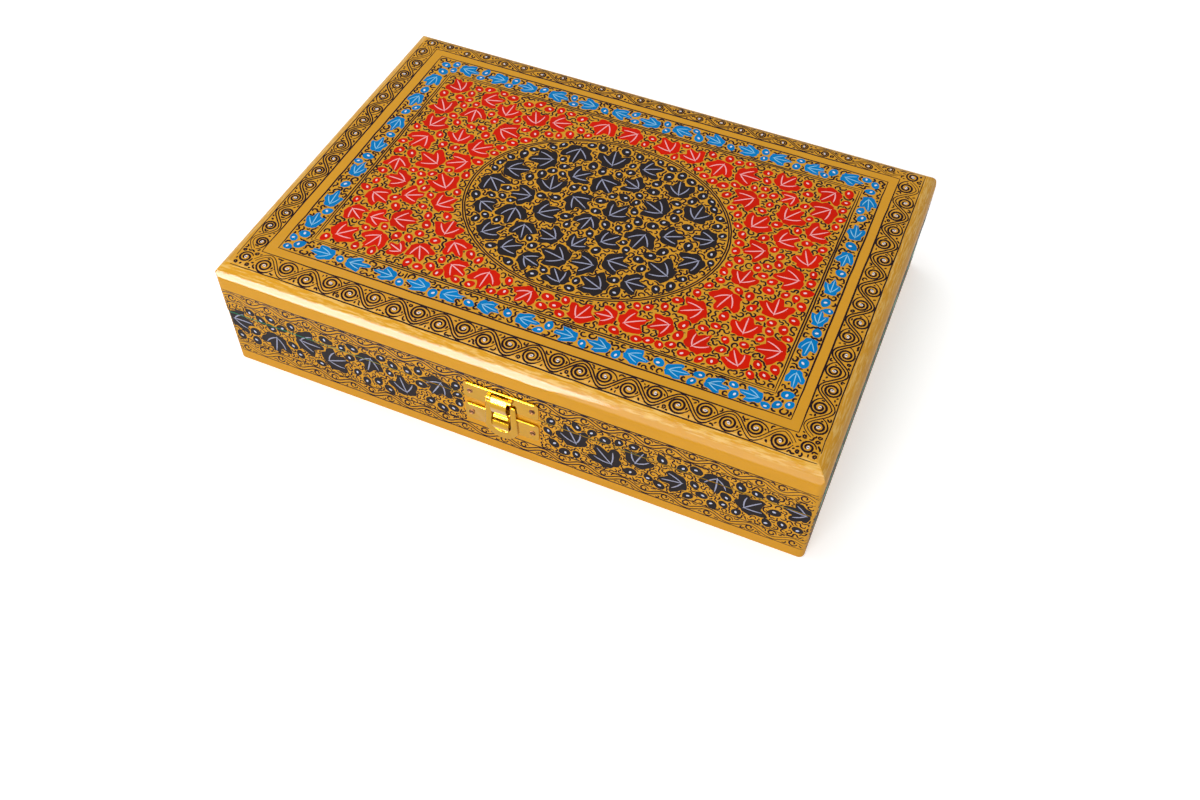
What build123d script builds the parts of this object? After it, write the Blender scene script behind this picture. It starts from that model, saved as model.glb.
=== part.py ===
from build123d import *
import os
from math import sqrt

# Flat lidded box: boards in a painted papier-mache skin, felt lining, two butt hinges and a hasp clasp.
# Millimetres. Origin at the centre of the underside, +X along the front, +Y towards the hinges, +Z up.

# ---- Box -----------------------------------------------------------------------------------------
box_length = 254.0          # lid, end to end
box_depth = 175.5           # front face to back face
box_height = 55.0
base_height = 28.5          # rim of the base boards
lid_overhang = 0.35         # lid past the base at each end
corner_radius = 2.5         # upright corners
edge_radius = 7.5           # bullnose round the top of the lid
skin = 1.4                  # papier-mache
glue_line = 0.05            # between the skin, the felt and the boards
wall = 6.0                  # wall boards and lid rails
floor_board = 4.0
lid_board = 8.0             # lid panel at its thickest, skin apart

# ---- Felt ----------------------------------------------------------------------------------------
felt = 1.0
rim_felt = 0.4              # felt pressed flat over the base rim
rim_felt_setback = 0.3      # its cut edge inside the outer face
lid_seat_gap = 0.1          # rim felt to lid
felt_rim_margin = 0.6       # lid felt stops short of the lid rim

# ---- Nails ---------------------------------------------------------------------------------------
nail_side = 0.85            # square shank
nail_length = 5.0           # under the head
nail_point = 1.2
nail_head_radius = 1.35
nail_crown_radius = 0.8     # flat on top of the head
nail_head_height = 0.55
nail_clearance = 0.05       # shank to hole

# ---- Hinges --------------------------------------------------------------------------------------
hinge_length = 30.0
hinge_end_margin = 52.0     # end of the lid to the middle of a hinge
hinge_sheet = 0.8
leaf_reach = 11.0           # pin axis to the free edge of a leaf
leaf_corner = 1.5
leaf_nail_reach = 7.2       # pin axis to the row of nails
leaf_nail_pitch = 18.0
leaf_nail_count = 2
barrel_radius = 1.6
barrel_standoff = 1.9       # back face to the pin axis
knuckle_count = 3
knuckle_gap = 0.15
hinge_pin_radius = 0.75
pin_hold = 0.01             # radial clearance where a pin is gripped
pin_running = 0.06          # radial clearance where a part turns on its pin
sweep_clearance = 0.3       # a moving edge past its neighbour

# ---- Clasp ---------------------------------------------------------------------------------------
clasp_width = 32.0
clasp_sheet = 0.7
clasp_corner = 1.6
clasp_bead_radius = 0.55    # rolled top edge of each plate
clasp_nail_spacing = 26.6
lid_plate_height = 9.1
lid_plate_rise = 0.45       # lower edge above the seam
lid_plate_nail_rise = 4.75
catch_plate_height = 9.7
catch_plate_drop = 3.15     # upper edge below the seam
catch_nail_drop = 8.75

frame_top_width = 12.7      # pressed-up frame of the catch: ears above, round tongue below
frame_foot_width = 14.3
frame_relief = 1.7
frame_edge_chamfer = 0.3
frame_slot_width = 8.0
ear_corner = 0.9
ear_rise = 3.75             # ears above the seam
frame_shoulder_drop = 12.25  # where the straight sides end
frame_tongue_drop = 17.75
slot_foot_drop = 13.2
rib_radius = 0.4            # cross rib that the hasp snaps under
rib_drop = 1.9
rib_stand = 1.1
scoop_width = 7.0           # pressed-out thumb scoop inside the frame
scoop_top_drop = 7.3
scoop_root = 0.4            # how far the scoop runs into the foot of the frame
scoop_stand = 1.95

hasp_sheet = 0.7
hasp_top_width = 7.0
hasp_lip_width = 6.4
hasp_pin_radius = 0.5
hasp_pin_rise = 6.75        # pin axis above the seam
hasp_pin_stand = 1.55       # pin axis in front of the front face
hasp_shoulder_radius = 2.3
hasp_nose_drop = 3.4        # where the bow ends below the seam
hasp_nose_stand = 1.45
hasp_lip_radius = 0.9
hasp_lip_turn = 75.0        # degrees
hasp_lip_length = 0.5
clasp_knuckle_width = 1.5

# ---- Worked out ----------------------------------------------------------------------------------
lid_bottom = base_height + rim_felt + lid_seat_gap
seam = (base_height + lid_bottom) / 2
base_length = box_length - 2 * lid_overhang
board_inset = skin + glue_line
panel_bottom = box_height - board_inset - lid_board
nail_bore = nail_side / sqrt(2) + nail_clearance
nail_cut = nail_side + 2 * nail_clearance
knuckle_pitch = hinge_length / knuckle_count
hasp_eye_radius = hasp_pin_radius + pin_running + hasp_sheet
clasp_knuckle_inner = hasp_top_width / 2 + knuckle_gap
clasp_knuckle_outer = clasp_knuckle_inner + clasp_knuckle_width
ear_back = clasp_sheet + sweep_clearance
scoop_foot_drop = slot_foot_drop + scoop_root

front_face = Plane(origin=(0, -box_depth / 2, seam), x_dir=(1, 0, 0), z_dir=(0, -1, 0))
clasp_side = Plane(origin=(0, -box_depth / 2, seam), x_dir=(0, -1, 0), z_dir=(-1, 0, 0))
back_face = Plane(origin=(0, box_depth / 2, seam), x_dir=(-1, 0, 0), z_dir=(0, 1, 0))

os.makedirs("parts", exist_ok=True)


def save(piece, name):
    """Label a finished piece and write its STEP file."""
    piece.part.label = name
    export_step(piece.part, f"parts/{name}.step")


# ---- Outer forms ---------------------------------------------------------------------------------
def base_form(inset, top):
    """Straight-sided block with rounded corners, set in from the outside of the base."""
    with BuildPart() as form:
        with BuildSketch(Plane.XY):
            RectangleRounded(base_length - 2 * inset, box_depth - 2 * inset, corner_radius - inset)
        extrude(amount=top)
    return form.part


def lid_form(inset, bottom):
    """Block of the lid, set in from its outside: the bullnose profile cuts it along each direction."""
    height = box_height - inset - bottom
    with BuildPart() as form:
        with BuildSketch(Plane.XY.offset(bottom)):
            RectangleRounded(box_length - 2 * inset, box_depth - 2 * inset, corner_radius - inset)
        extrude(amount=height)
        for plane, width, run in ((Plane.XZ, box_length, box_depth), (Plane.YZ, box_depth, box_length)):
            with BuildSketch(plane) as profile:
                with Locations((0, bottom + height / 2)):
                    Rectangle(width - 2 * inset, height)
                fillet(profile.vertices().group_by(Axis.Y)[-1], edge_radius - inset)
            extrude(amount=run, both=True, mode=Mode.INTERSECT)
    return form.part


base_boards = base_form(board_inset, base_height)
lid_boards = lid_form(board_inset, lid_bottom)
lid_outside = lid_form(0, lid_bottom)
lid_skin_core = lid_form(skin, lid_bottom - skin)


# ---- Nails and their holes -----------------------------------------------------------------------
def drilled_holes(face, points):
    """Round holes for a set of nails through a brass plate on a face of the box."""
    with BuildSketch(face) as holes:
        with Locations(*points):
            Circle(nail_bore)
    return holes.sketch


def driven_holes(face, points):
    """Square holes that the shanks leave in the skin and the boards behind a face."""
    with BuildSketch(face) as holes:
        with Locations(*points):
            Rectangle(nail_cut, nail_cut)
    return holes.sketch


with BuildPart() as nail:
    with BuildSketch(Plane.XZ):
        with BuildLine():
            Polyline(
                (0, 0),
                (nail_head_radius, 0),
                (nail_crown_radius, nail_head_height),
                (0, nail_head_height),
                close=True,
            )
        make_face()
    revolve(axis=Axis.Z)
    with BuildSketch(Plane.XY.offset(nail_point - nail_length), mode=Mode.PRIVATE) as shank:
        Rectangle(nail_side, nail_side)
    extrude(shank.sketch, amount=nail_length - nail_point)
    loft([shank.sketch, Vertex(0, 0, -nail_length)])

leaf_nail_span = (leaf_nail_count - 1) * leaf_nail_pitch
hinge_centres = (hinge_end_margin - box_length / 2, box_length / 2 - hinge_end_margin)


def leaf_nail_points(direction):
    """Nails of both hinges on one side of the seam, in the plane of the back face."""
    return [
        (centre - leaf_nail_span / 2 + n * leaf_nail_pitch, direction * leaf_nail_reach)
        for centre in hinge_centres
        for n in range(leaf_nail_count)
    ]


clasp_nail_x = (-clasp_nail_spacing / 2, clasp_nail_spacing / 2)
nail_points = {
    "hinge_base": (back_face, leaf_nail_points(-1)),
    "hinge_lid": (back_face, leaf_nail_points(1)),
    "clasp_catch": (front_face, [(x, -catch_nail_drop) for x in clasp_nail_x]),
    "clasp_lid": (front_face, [(x, lid_plate_nail_rise) for x in clasp_nail_x]),
}
drilled = {name: drilled_holes(*where) for name, where in nail_points.items()}
driven = {name: driven_holes(*where) for name, where in nail_points.items()}

for nail_set_name, (face, points) in nail_points.items():
    with BuildPart() as nail_set:
        with Locations(face.offset(clasp_sheet if face is front_face else hinge_sheet)):
            with Locations(*points):
                add(nail.part)
    save(nail_set, f"{nail_set_name}_nails")


# ---- Boards --------------------------------------------------------------------------------------
def save_walls(body, kind, form, length, bottom, top, holes):
    """Front and back boards run the full length and the two sides are butted between them."""
    side_depth = box_depth - 2 * (board_inset + wall)
    for name, sign in (("front", -1), ("back", 1)):
        with BuildPart() as board:
            add(form)
            with BuildSketch(Plane.XY.offset(bottom)):
                with Locations((0, sign * (side_depth + wall) / 2)):
                    Rectangle(length, wall)
            extrude(amount=top - bottom, mode=Mode.INTERSECT)
            extrude(holes[name], amount=-nail_length, mode=Mode.SUBTRACT)
        save(board, f"{body}_{name}_{kind}")
    for name, sign in (("left", -1), ("right", 1)):
        with BuildPart() as board:
            with BuildSketch(Plane.XY.offset(bottom)):
                with Locations((sign * (length / 2 - board_inset - wall / 2), 0)):
                    Rectangle(wall, side_depth)
            extrude(amount=top - bottom)
        save(board, f"{body}_{name}_{kind}")


save_walls("base", "wall", base_boards, base_length, 0, base_height,
           {"front": driven["clasp_catch"], "back": driven["hinge_base"]})
save_walls("lid", "rail", lid_boards, box_length, lid_bottom, panel_bottom,
           {"front": driven["clasp_lid"], "back": driven["hinge_lid"]})

base_inside_length = base_length - 2 * (board_inset + wall)
lid_inside_length = box_length - 2 * (board_inset + wall)
inside_depth = box_depth - 2 * (board_inset + wall)

with BuildPart() as base_floor:
    with BuildSketch(Plane.XY):
        Rectangle(base_inside_length, inside_depth)
    extrude(amount=floor_board)
save(base_floor, "base_floor")

with BuildPart() as lid_top_panel:
    add(lid_boards)
    with BuildSketch(Plane.XY.offset(panel_bottom)):
        Rectangle(box_length, box_depth)
    extrude(amount=lid_board, mode=Mode.INTERSECT)
save(lid_top_panel, "lid_top_panel")

# ---- Papier-mache skins --------------------------------------------------------------------------
with BuildPart() as base_skin:
    add(base_form(0, base_height))
    add(base_form(skin, base_height), mode=Mode.SUBTRACT)
    for holes in (driven["clasp_catch"], driven["hinge_base"]):
        extrude(holes, amount=-skin, mode=Mode.SUBTRACT)
save(base_skin, "base_skin")

with BuildPart() as lid_skin:
    add(lid_outside)
    add(lid_skin_core, mode=Mode.SUBTRACT)
    for holes in (driven["clasp_lid"], driven["hinge_lid"]):
        extrude(holes, amount=-skin, mode=Mode.SUBTRACT)
save(lid_skin, "lid_skin")


# ---- Felt lining ---------------------------------------------------------------------------------
def save_flat_felt(name, length, bottom):
    """Sheet that covers the floor, or the inside of the lid panel, between the wall felts."""
    with BuildPart() as sheet:
        with BuildSketch(Plane.XY.offset(bottom)):
            Rectangle(length - 2 * felt_inset, inside_depth - 2 * felt_inset)
        extrude(amount=felt)
    save(sheet, name)


felt_inset = glue_line + felt + glue_line   # face of a board to the far side of the felt at a corner
base_felt_bottom = floor_board + glue_line
lid_felt_top = panel_bottom - glue_line
rim_felt_depth = box_depth - 2 * rim_felt_setback
rim_felt_length = base_length - 2 * rim_felt_setback
rim_felt_corner = corner_radius - rim_felt_setback
rim_felt_width = skin + glue_line + wall + glue_line + felt - rim_felt_setback

save_flat_felt("base_floor_lining", base_inside_length, base_felt_bottom)
save_flat_felt("lid_panel_lining", lid_inside_length, lid_felt_top - felt)

for side, sign in (("front", -1), ("back", 1)):
    felt_centre = sign * (inside_depth / 2 - glue_line - felt / 2)
    with BuildPart() as base_long_felt:
        with BuildSketch(Plane.XY.offset(base_felt_bottom)):
            with Locations((0, felt_centre)):
                Rectangle(base_inside_length - 2 * glue_line, felt)
        extrude(amount=base_height - base_felt_bottom)
        with BuildSketch(Plane.XY.offset(base_height)):
            with Locations((0, sign * (rim_felt_depth - rim_felt_width) / 2)):
                Rectangle(rim_felt_length, rim_felt_width)
            RectangleRounded(rim_felt_length, rim_felt_depth, rim_felt_corner, mode=Mode.INTERSECT)
        extrude(amount=rim_felt)
    save(base_long_felt, f"base_{side}_lining")
    with BuildPart() as lid_long_felt:
        with BuildSketch(Plane.XY.offset(lid_bottom + felt_rim_margin)):
            with Locations((0, felt_centre)):
                Rectangle(lid_inside_length - 2 * glue_line, felt)
        extrude(amount=lid_felt_top - lid_bottom - felt_rim_margin)
    save(lid_long_felt, f"lid_{side}_lining")

for side, sign in (("left", -1), ("right", 1)):
    with BuildPart() as base_short_felt:
        with BuildSketch(Plane.XY.offset(base_felt_bottom)):
            with Locations((sign * (base_inside_length / 2 - glue_line - felt / 2), 0)):
                Rectangle(felt, inside_depth - 2 * felt_inset)
        extrude(amount=base_height - base_felt_bottom)
        with BuildSketch(Plane.XY.offset(base_height)):
            with Locations((sign * (rim_felt_length - rim_felt_width) / 2, 0)):
                Rectangle(rim_felt_width, rim_felt_depth - 2 * (rim_felt_width + glue_line))
        extrude(amount=rim_felt)
    save(base_short_felt, f"base_{side}_lining")
    with BuildPart() as lid_short_felt:
        with BuildSketch(Plane.XY.offset(lid_bottom + felt_rim_margin)):
            with Locations((sign * (lid_inside_length / 2 - glue_line - felt / 2), 0)):
                Rectangle(felt, inside_depth - 2 * felt_inset)
        extrude(amount=lid_felt_top - lid_bottom - felt_rim_margin)
    save(lid_short_felt, f"lid_{side}_lining")


# ---- Hinges --------------------------------------------------------------------------------------
def barrel_plane(x):
    """Plane across the hinge pin at x, with local x pointing away from the back face."""
    return Plane(origin=(x, box_depth / 2 + barrel_standoff, seam), x_dir=(0, 1, 0), z_dir=(1, 0, 0))


def save_leaf(name, centre, direction, knuckles, bore, holes):
    """Leaf flat on the back face, with its edge rolled into every other knuckle round the pin."""
    edge = barrel_radius + sweep_clearance
    leaf_height = leaf_reach - edge
    with BuildPart() as leaf:
        with BuildSketch(back_face) as plate:
            with Locations((-centre, direction * (edge + leaf_height / 2))):
                Rectangle(hinge_length, leaf_height)
            free_corners = plate.vertices().sort_by(Axis.Y)
            fillet(free_corners[-2:] if direction > 0 else free_corners[:2], leaf_corner)
        extrude(amount=hinge_sheet)
        for n in knuckles:
            start = centre - hinge_length / 2 + n * knuckle_pitch + knuckle_gap / 2
            with BuildSketch(barrel_plane(start)):
                Circle(barrel_radius)
                with Locations((hinge_sheet / 2 - barrel_standoff, direction * edge / 2)):
                    Rectangle(hinge_sheet, edge)
                Circle(bore, mode=Mode.SUBTRACT)
            extrude(amount=knuckle_pitch - knuckle_gap)
        extrude(holes, amount=hinge_sheet, mode=Mode.SUBTRACT)
    save(leaf, name)


pin_grip = hinge_pin_radius + pin_hold
pin_turn = hinge_pin_radius + pin_running
for hand, centre in zip(("left", "right"), hinge_centres):
    outer_knuckles = range(0, knuckle_count, 2)
    inner_knuckles = range(1, knuckle_count, 2)
    save_leaf(f"hinge_{hand}_base_leaf", centre, -1, outer_knuckles, pin_grip, drilled["hinge_base"])
    save_leaf(f"hinge_{hand}_lid_leaf", centre, 1, inner_knuckles, pin_turn, drilled["hinge_lid"])
    with BuildPart() as hinge_pin:
        with BuildSketch(barrel_plane(centre - hinge_length / 2)):
            Circle(hinge_pin_radius)
        extrude(amount=hinge_length)
    save(hinge_pin, f"hinge_{hand}_pin")


# ---- Clasp ---------------------------------------------------------------------------------------
def plate_with_bead(bottom, height):
    """Clasp plate on the front face with rounded corners and its top edge rolled into a bead."""
    with BuildPart() as plate:
        with BuildSketch(front_face):
            with Locations((0, bottom + height / 2)):
                RectangleRounded(clasp_width, height, clasp_corner)
        extrude(amount=clasp_sheet)
        with BuildSketch(clasp_side):
            with Locations((clasp_bead_radius, bottom + height - clasp_bead_radius)):
                Circle(clasp_bead_radius)
        extrude(amount=clasp_width / 2 - clasp_corner, both=True)
    return plate.part


lid_plate_blank = plate_with_bead(lid_plate_rise, lid_plate_height)
catch_plate_blank = plate_with_bead(-catch_plate_drop - catch_plate_height, catch_plate_height)

with BuildPart() as clasp_lid_plate:
    add(lid_plate_blank)
    window_height = 2 * (hasp_eye_radius + sweep_clearance)
    with BuildSketch(front_face):
        with Locations((0, hasp_pin_rise)):
            Rectangle(2 * clasp_knuckle_inner, window_height)
    extrude(amount=clasp_sheet, mode=Mode.SUBTRACT)
    for sign in (-1, 1):
        with BuildSketch(clasp_side.offset(-sign * clasp_knuckle_outer)):
            with Locations((hasp_pin_stand, hasp_pin_rise)):
                Circle(hasp_eye_radius)
            with Locations((hasp_pin_stand / 2, hasp_pin_rise)):
                Rectangle(hasp_pin_stand, 2 * hasp_eye_radius)
            with Locations((hasp_pin_stand, hasp_pin_rise)):
                Circle(hasp_pin_radius + pin_hold, mode=Mode.SUBTRACT)
        extrude(amount=sign * clasp_knuckle_width)
    extrude(drilled["clasp_lid"], amount=clasp_sheet, mode=Mode.SUBTRACT)
save(clasp_lid_plate, "clasp_lid_plate")

with BuildPart() as clasp_pin:
    with BuildSketch(clasp_side):
        with Locations((hasp_pin_stand, hasp_pin_rise)):
            Circle(hasp_pin_radius)
    extrude(amount=clasp_knuckle_outer, both=True)
save(clasp_pin, "clasp_pin")

catch_slot_radius = frame_slot_width / 2
with BuildSketch(front_face) as catch_slot:
    with Locations((0, catch_slot_radius - slot_foot_drop)):
        Circle(catch_slot_radius)
        Rectangle(frame_slot_width, slot_foot_drop + 2 * ear_rise, align=(Align.CENTER, Align.MIN))

with BuildPart() as catch_frame:
    ear_top = Vector(frame_top_width / 2, ear_rise)
    shoulder = Vector(frame_foot_width / 2, -frame_shoulder_drop)
    with BuildSketch(front_face) as frame_outline:
        with BuildLine():
            Polyline((-shoulder.X, shoulder.Y), (-ear_top.X, ear_top.Y), ear_top, shoulder)
            ThreePointArc(shoulder, (0, -frame_tongue_drop), (-shoulder.X, shoulder.Y))
        make_face()
        add(catch_slot.sketch_local, mode=Mode.SUBTRACT)
        fillet(frame_outline.vertices().group_by(Axis.Y)[-1], ear_corner)
    extrude(amount=frame_relief)
    chamfer(catch_frame.faces().sort_by(Axis.Y)[0].edges(), frame_edge_chamfer)
    with BuildSketch(front_face):
        with Locations((0, base_height - seam)):
            Rectangle(clasp_width, 2 * ear_rise, align=(Align.CENTER, Align.MIN))
    extrude(amount=ear_back, mode=Mode.SUBTRACT)

with BuildPart() as catch_scoop:
    scoop_end_radius = scoop_width / 2
    with BuildSketch(clasp_side):
        with BuildLine():
            ThreePointArc(
                (clasp_sheet / 2, -scoop_foot_drop),
                (scoop_stand, -(scoop_foot_drop + scoop_top_drop) / 2),
                (scoop_stand - clasp_sheet / 2, -scoop_top_drop),
            )
        trace(line_width=clasp_sheet)
    extrude(amount=scoop_end_radius, both=True)
    with BuildSketch(front_face):
        with Locations((0, scoop_end_radius - scoop_foot_drop)):
            Circle(scoop_end_radius)
            Rectangle(scoop_width, scoop_foot_drop, align=(Align.CENTER, Align.MIN))
    extrude(amount=scoop_stand + clasp_sheet, mode=Mode.INTERSECT)

with BuildPart() as clasp_catch_plate:
    add(catch_plate_blank)
    add(catch_frame.part)
    extrude(catch_slot.sketch, amount=frame_relief, mode=Mode.SUBTRACT)
    add(catch_scoop.part)
    with BuildSketch(clasp_side):
        with Locations((rib_stand, -rib_drop)):
            Circle(rib_radius)
    extrude(amount=catch_slot_radius + rib_radius, both=True)
    extrude(drilled["clasp_catch"], amount=clasp_sheet, mode=Mode.SUBTRACT)
save(clasp_catch_plate, "clasp_catch_plate")

with BuildPart() as clasp_hasp:
    eye_middle = hasp_eye_radius - hasp_sheet / 2
    with BuildSketch(clasp_side):
        with BuildLine():
            shoulder_arc = JernArc(
                (hasp_pin_stand, hasp_pin_rise + eye_middle), (1, 0), hasp_shoulder_radius, -90
            )
            bow = TangentArc(shoulder_arc @ 1, (hasp_nose_stand, -hasp_nose_drop), tangent=(0, -1))
            lip = JernArc(bow @ 1, bow % 1, hasp_lip_radius, hasp_lip_turn)
            Line(lip @ 1, lip @ 1 + hasp_lip_length * (lip % 1))
        trace(line_width=hasp_sheet)
        with Locations((hasp_pin_stand, hasp_pin_rise)):
            Circle(hasp_eye_radius)
            Circle(hasp_pin_radius + pin_running, mode=Mode.SUBTRACT)
    extrude(amount=hasp_top_width / 2, both=True)
    hasp_top = hasp_pin_rise + hasp_eye_radius
    hasp_foot = hasp_nose_drop + 2 * (hasp_lip_radius + hasp_lip_length)
    with BuildSketch(front_face):
        with BuildLine():
            Polyline(
                (-hasp_top_width / 2, hasp_top),
                (hasp_top_width / 2, hasp_top),
                (hasp_lip_width / 2, -hasp_foot),
                (-hasp_lip_width / 2, -hasp_foot),
                close=True,
            )
        make_face()
    extrude(amount=hasp_pin_stand + 2 * hasp_shoulder_radius, mode=Mode.INTERSECT)
save(clasp_hasp, "clasp_hasp")
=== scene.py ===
"""Gilding, brush ornament, felt and fittings for a Kashmiri papier mache box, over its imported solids."""

import math

import bmesh
import bpy
import numpy as np
from bpy.props import FloatProperty, FloatVectorProperty, IntProperty, PointerProperty
from mathutils import Matrix, Vector, noise


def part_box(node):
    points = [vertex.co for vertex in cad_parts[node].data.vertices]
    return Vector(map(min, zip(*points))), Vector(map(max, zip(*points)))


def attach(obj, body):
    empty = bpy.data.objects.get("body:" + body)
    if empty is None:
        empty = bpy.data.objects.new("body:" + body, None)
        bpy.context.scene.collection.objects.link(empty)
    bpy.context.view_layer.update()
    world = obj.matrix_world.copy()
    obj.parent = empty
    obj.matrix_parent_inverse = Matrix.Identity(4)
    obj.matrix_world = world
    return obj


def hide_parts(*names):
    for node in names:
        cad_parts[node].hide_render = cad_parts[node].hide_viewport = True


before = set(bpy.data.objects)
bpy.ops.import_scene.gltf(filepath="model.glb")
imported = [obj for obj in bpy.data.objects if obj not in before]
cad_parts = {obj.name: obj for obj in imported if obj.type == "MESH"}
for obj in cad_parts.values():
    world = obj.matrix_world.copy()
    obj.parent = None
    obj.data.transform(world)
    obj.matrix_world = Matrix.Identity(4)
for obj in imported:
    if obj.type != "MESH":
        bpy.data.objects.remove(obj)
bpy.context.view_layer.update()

bl_info = {
    "name": "Kashmiri papier mache box",
    "version": (1, 0, 0),
    "blender": (4, 5, 0),
    "location": "3D View > Sidebar > Painted box",
    "description": "Gilds and paints the box, lines it with felt and finishes its brass",
    "category": "Add Mesh",
}

MM = 0.001
lid_low, lid_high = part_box("lid_skin")
_, base_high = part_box("base_skin")


# ---- Sizes and colours a user would change -------------------------------------------------------
def length(name, description, *millimetres):
    """Property for one length or for several, with the defaults given in millimetres."""
    default = [value * MM for value in millimetres]
    shared = {"name": name, "description": description, "unit": "LENGTH", "precision": 5}
    if len(default) == 1:
        return FloatProperty(default=default[0], min=0, **shared)
    return FloatVectorProperty(default=default, size=len(default), **shared)


def paint(name, red, green, blue):
    """Property for a paint, with its default given as 0 to 255 screen values."""
    shares = [value / 255 for value in (red, green, blue)]
    linear = [s / 12.92 if s <= 0.04045 else ((s + 0.055) / 1.055) ** 2.4 for s in shares]
    return FloatVectorProperty(
        name=name, description=f"{name} as mixed", default=linear, min=0, max=1, size=3, subtype="COLOR"
    )


FROM_MIDDLE = "How far its left, right, front and back sides are from the middle of the lid"


class OrnamentSizes(bpy.types.PropertyGroup):
    """Layout of the brush work and the size of its motifs."""

    edge_radius: length("Bullnose", "Radius of the rounding round the lid", 7.5)
    corner_radius: length("Upright corner", "Radius of the upright corners", 2.5)
    outer_frame: length("Outer line of the scroll border", FROM_MIDDLE, 120.7, 121.7, 83.4, 82.5)
    scroll_frame: length("Inner line of the scroll border", FROM_MIDDLE, 112.4, 111.8, 73.1, 76.0)
    band_frame: length("Outer line of the blue band", FROM_MIDDLE, 107.6, 107.6, 68.6, 72.0)
    field_frame: length("Double line round the red field", FROM_MIDDLE, 98.0, 98.9, 59.3, 62.2)
    medallion: length("Medallion", "Half length and half depth of the oval", 56.7, 46.4)
    medallion_centre: length("Medallion centre", "Middle of the oval on the lid", 1.4, 1.2)
    side_lines: length("Side lines", "Heights of the four lines round the sides", 5.5, 11.6, 35.6, 41.9)
    side_margin: length("Side margin", "End of a side's ornament to the corner", 0.9)
    leaf_length: length("Leaf", "Middle finger of a chinar leaf, from its vein node", 8.9)
    scroll_width: length("Scroll stroke", "Width of the border's spirals", 0.92)
    berry_radius: length("Berry", "Radius of a berry", 2.2)
    dot_radius: length("Berry light", "Half length of the light dot on a berry", 0.78)
    ink_width: length("Ink stroke", "Width of a filling stroke", 0.8)
    line_width: length("Ruled line", "Width of a ruled frame line", 0.78)
    vein_width: length("Vein", "Width of a vein stroke", 0.56)
    stroke_gap: length("Stroke gap", "Gold left bare between a stroke and a leaf", 0.02)
    paint_depth: length("Paint depth", "How far a coat of paint stands proud", 0.05)
    scroll_pitch: length("Scroll pitch", "One spiral of the border to the next", 9.6)
    wave_pitch: length("Wave pitch", "One arc of the narrow side bands to the next", 8.6)
    field_leaves: IntProperty(name="Field leaves", description="Red leaves in the field", default=74)
    medallion_leaves: IntProperty(name="Medallion leaves", description="Black leaves", default=38)
    seed: IntProperty(name="Hand", description="Chooses another drawing of the same pattern", default=7)


class BoxPaints(bpy.types.PropertyGroup):
    """Colours of the paints, felt and metals."""

    gold: paint("Gold ground", 213, 151, 32)
    # Painted highlight: lighter gold for the wrinkle crests of the bullnose, where the varnish catches the
    # lamps.
    painted_highlight: paint("Gold rubbed bright at the rim", 232, 190, 104)
    ink: paint("Ink", 36, 22, 28)
    red: paint("Red", 208, 26, 0)
    blue: paint("Blue", 0, 122, 190)
    black: paint("Black", 37, 32, 34)
    green: paint("Green", 0, 138, 76)
    rose: paint("Rose veins", 244, 176, 178)
    lilac: paint("Lilac veins", 158, 160, 184)
    sky: paint("Sky veins", 146, 202, 230)
    mint: paint("Mint veins", 176, 226, 196)
    white: paint("Border and blue lights", 232, 228, 234)
    blush: paint("Red berry lights", 240, 208, 214)
    mist: paint("Black and green berry lights", 200, 204, 226)
    felt: paint("Felt", 18, 118, 78)
    brass: paint("Brass", 180, 136, 9)
    copper: paint("Nail heads", 108, 72, 44)
    # Painted shade: dark brown laid over the upper part of each nail head, where its recess is in shade.
    nail_shade: paint("Tarnish", 34, 20, 10)
    board: paint("Board edges", 176, 120, 44)


class StageSizes(bpy.types.PropertyGroup):
    """Camera, lamps and floor."""

    lens: FloatProperty(name="Lens", description="Focal length on 36 mm film, in mm", default=35.41)
    camera_place: length("Camera", "Where the camera stands", 138.5, -337.0, 390.8)
    camera_turn: FloatVectorProperty(
        name="Camera turn", description="Heading, tilt below the horizon and roll", size=3,
        subtype="EULER", default=(math.radians(21.392), math.radians(51.502), math.radians(1.970)),
    )
    sky_level: FloatProperty(name="Sky", description="Level of the even light all round", default=0.45)
    top_power: FloatProperty(name="Top lamp", description="Power of the large lamp above", default=5.25)
    front_power: FloatProperty(name="Front lamp", description="Power of the front lamp", default=5.2)
    card_power: FloatProperty(name="Card", description="Power of the card mirrored in gloss", default=11.5)
    floor_size: length("Floor", "Side of the square floor", 6000)


def sizes():
    return bpy.context.scene.ornament_sizes


def paints():
    return bpy.context.scene.box_paints


# ---- Nodes ---------------------------------------------------------------------------------------
FLOAT, COLOUR, VECTOR = "NodeSocketFloat", "NodeSocketColor", "NodeSocketVector"
MIX_SHARE, MIX_VECTORS, MIX_COLOURS = 0, (4, 5), (6, 7)  # the Mix node's own sockets for each kind
MIXED_VECTOR, MIXED_COLOUR = 1, 2


def node(tree, kind, inputs=None, **settings):
    """Adds a node, sets its properties and links or fills its inputs. Returns its outputs."""
    made = tree.nodes.new(kind)
    for key, value in settings.items():
        setattr(made, key, value)
    for key, value in (inputs or {}).items():
        if isinstance(value, bpy.types.NodeSocket):
            tree.links.new(value, made.inputs[key])
        else:
            made.inputs[key].default_value = value
    return made.outputs


def maths(tree, operation, first, second=0.0):
    return node(tree, "ShaderNodeMath", {0: first, 1: second}, operation=operation)[0]


def object_place(tree):
    return node(tree, "ShaderNodeTexCoord")["Object"]


def stretched(tree, place, by):
    return node(tree, "ShaderNodeVectorMath", {0: place, 1: by}, operation="MULTIPLY")[0]


def noise_at(tree, place, scale, detail, roughness=0.5):
    values = {"Vector": place, "Scale": scale, "Detail": detail, "Roughness": roughness}
    return node(tree, "ShaderNodeTexNoise", values)[0]


def ramp(tree, value, given, wanted):
    """Maps a value from one range to another."""
    ends = {"From Min": given[0], "From Max": given[1], "To Min": wanted[0], "To Max": wanted[1]}
    return node(tree, "ShaderNodeMapRange", {"Value": value, **ends})[0]


def shaded(tree, colour, value):
    """Colour made darker or lighter."""
    return node(tree, "ShaderNodeHueSaturation", {"Value": value, "Color": colour})[0]


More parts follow.
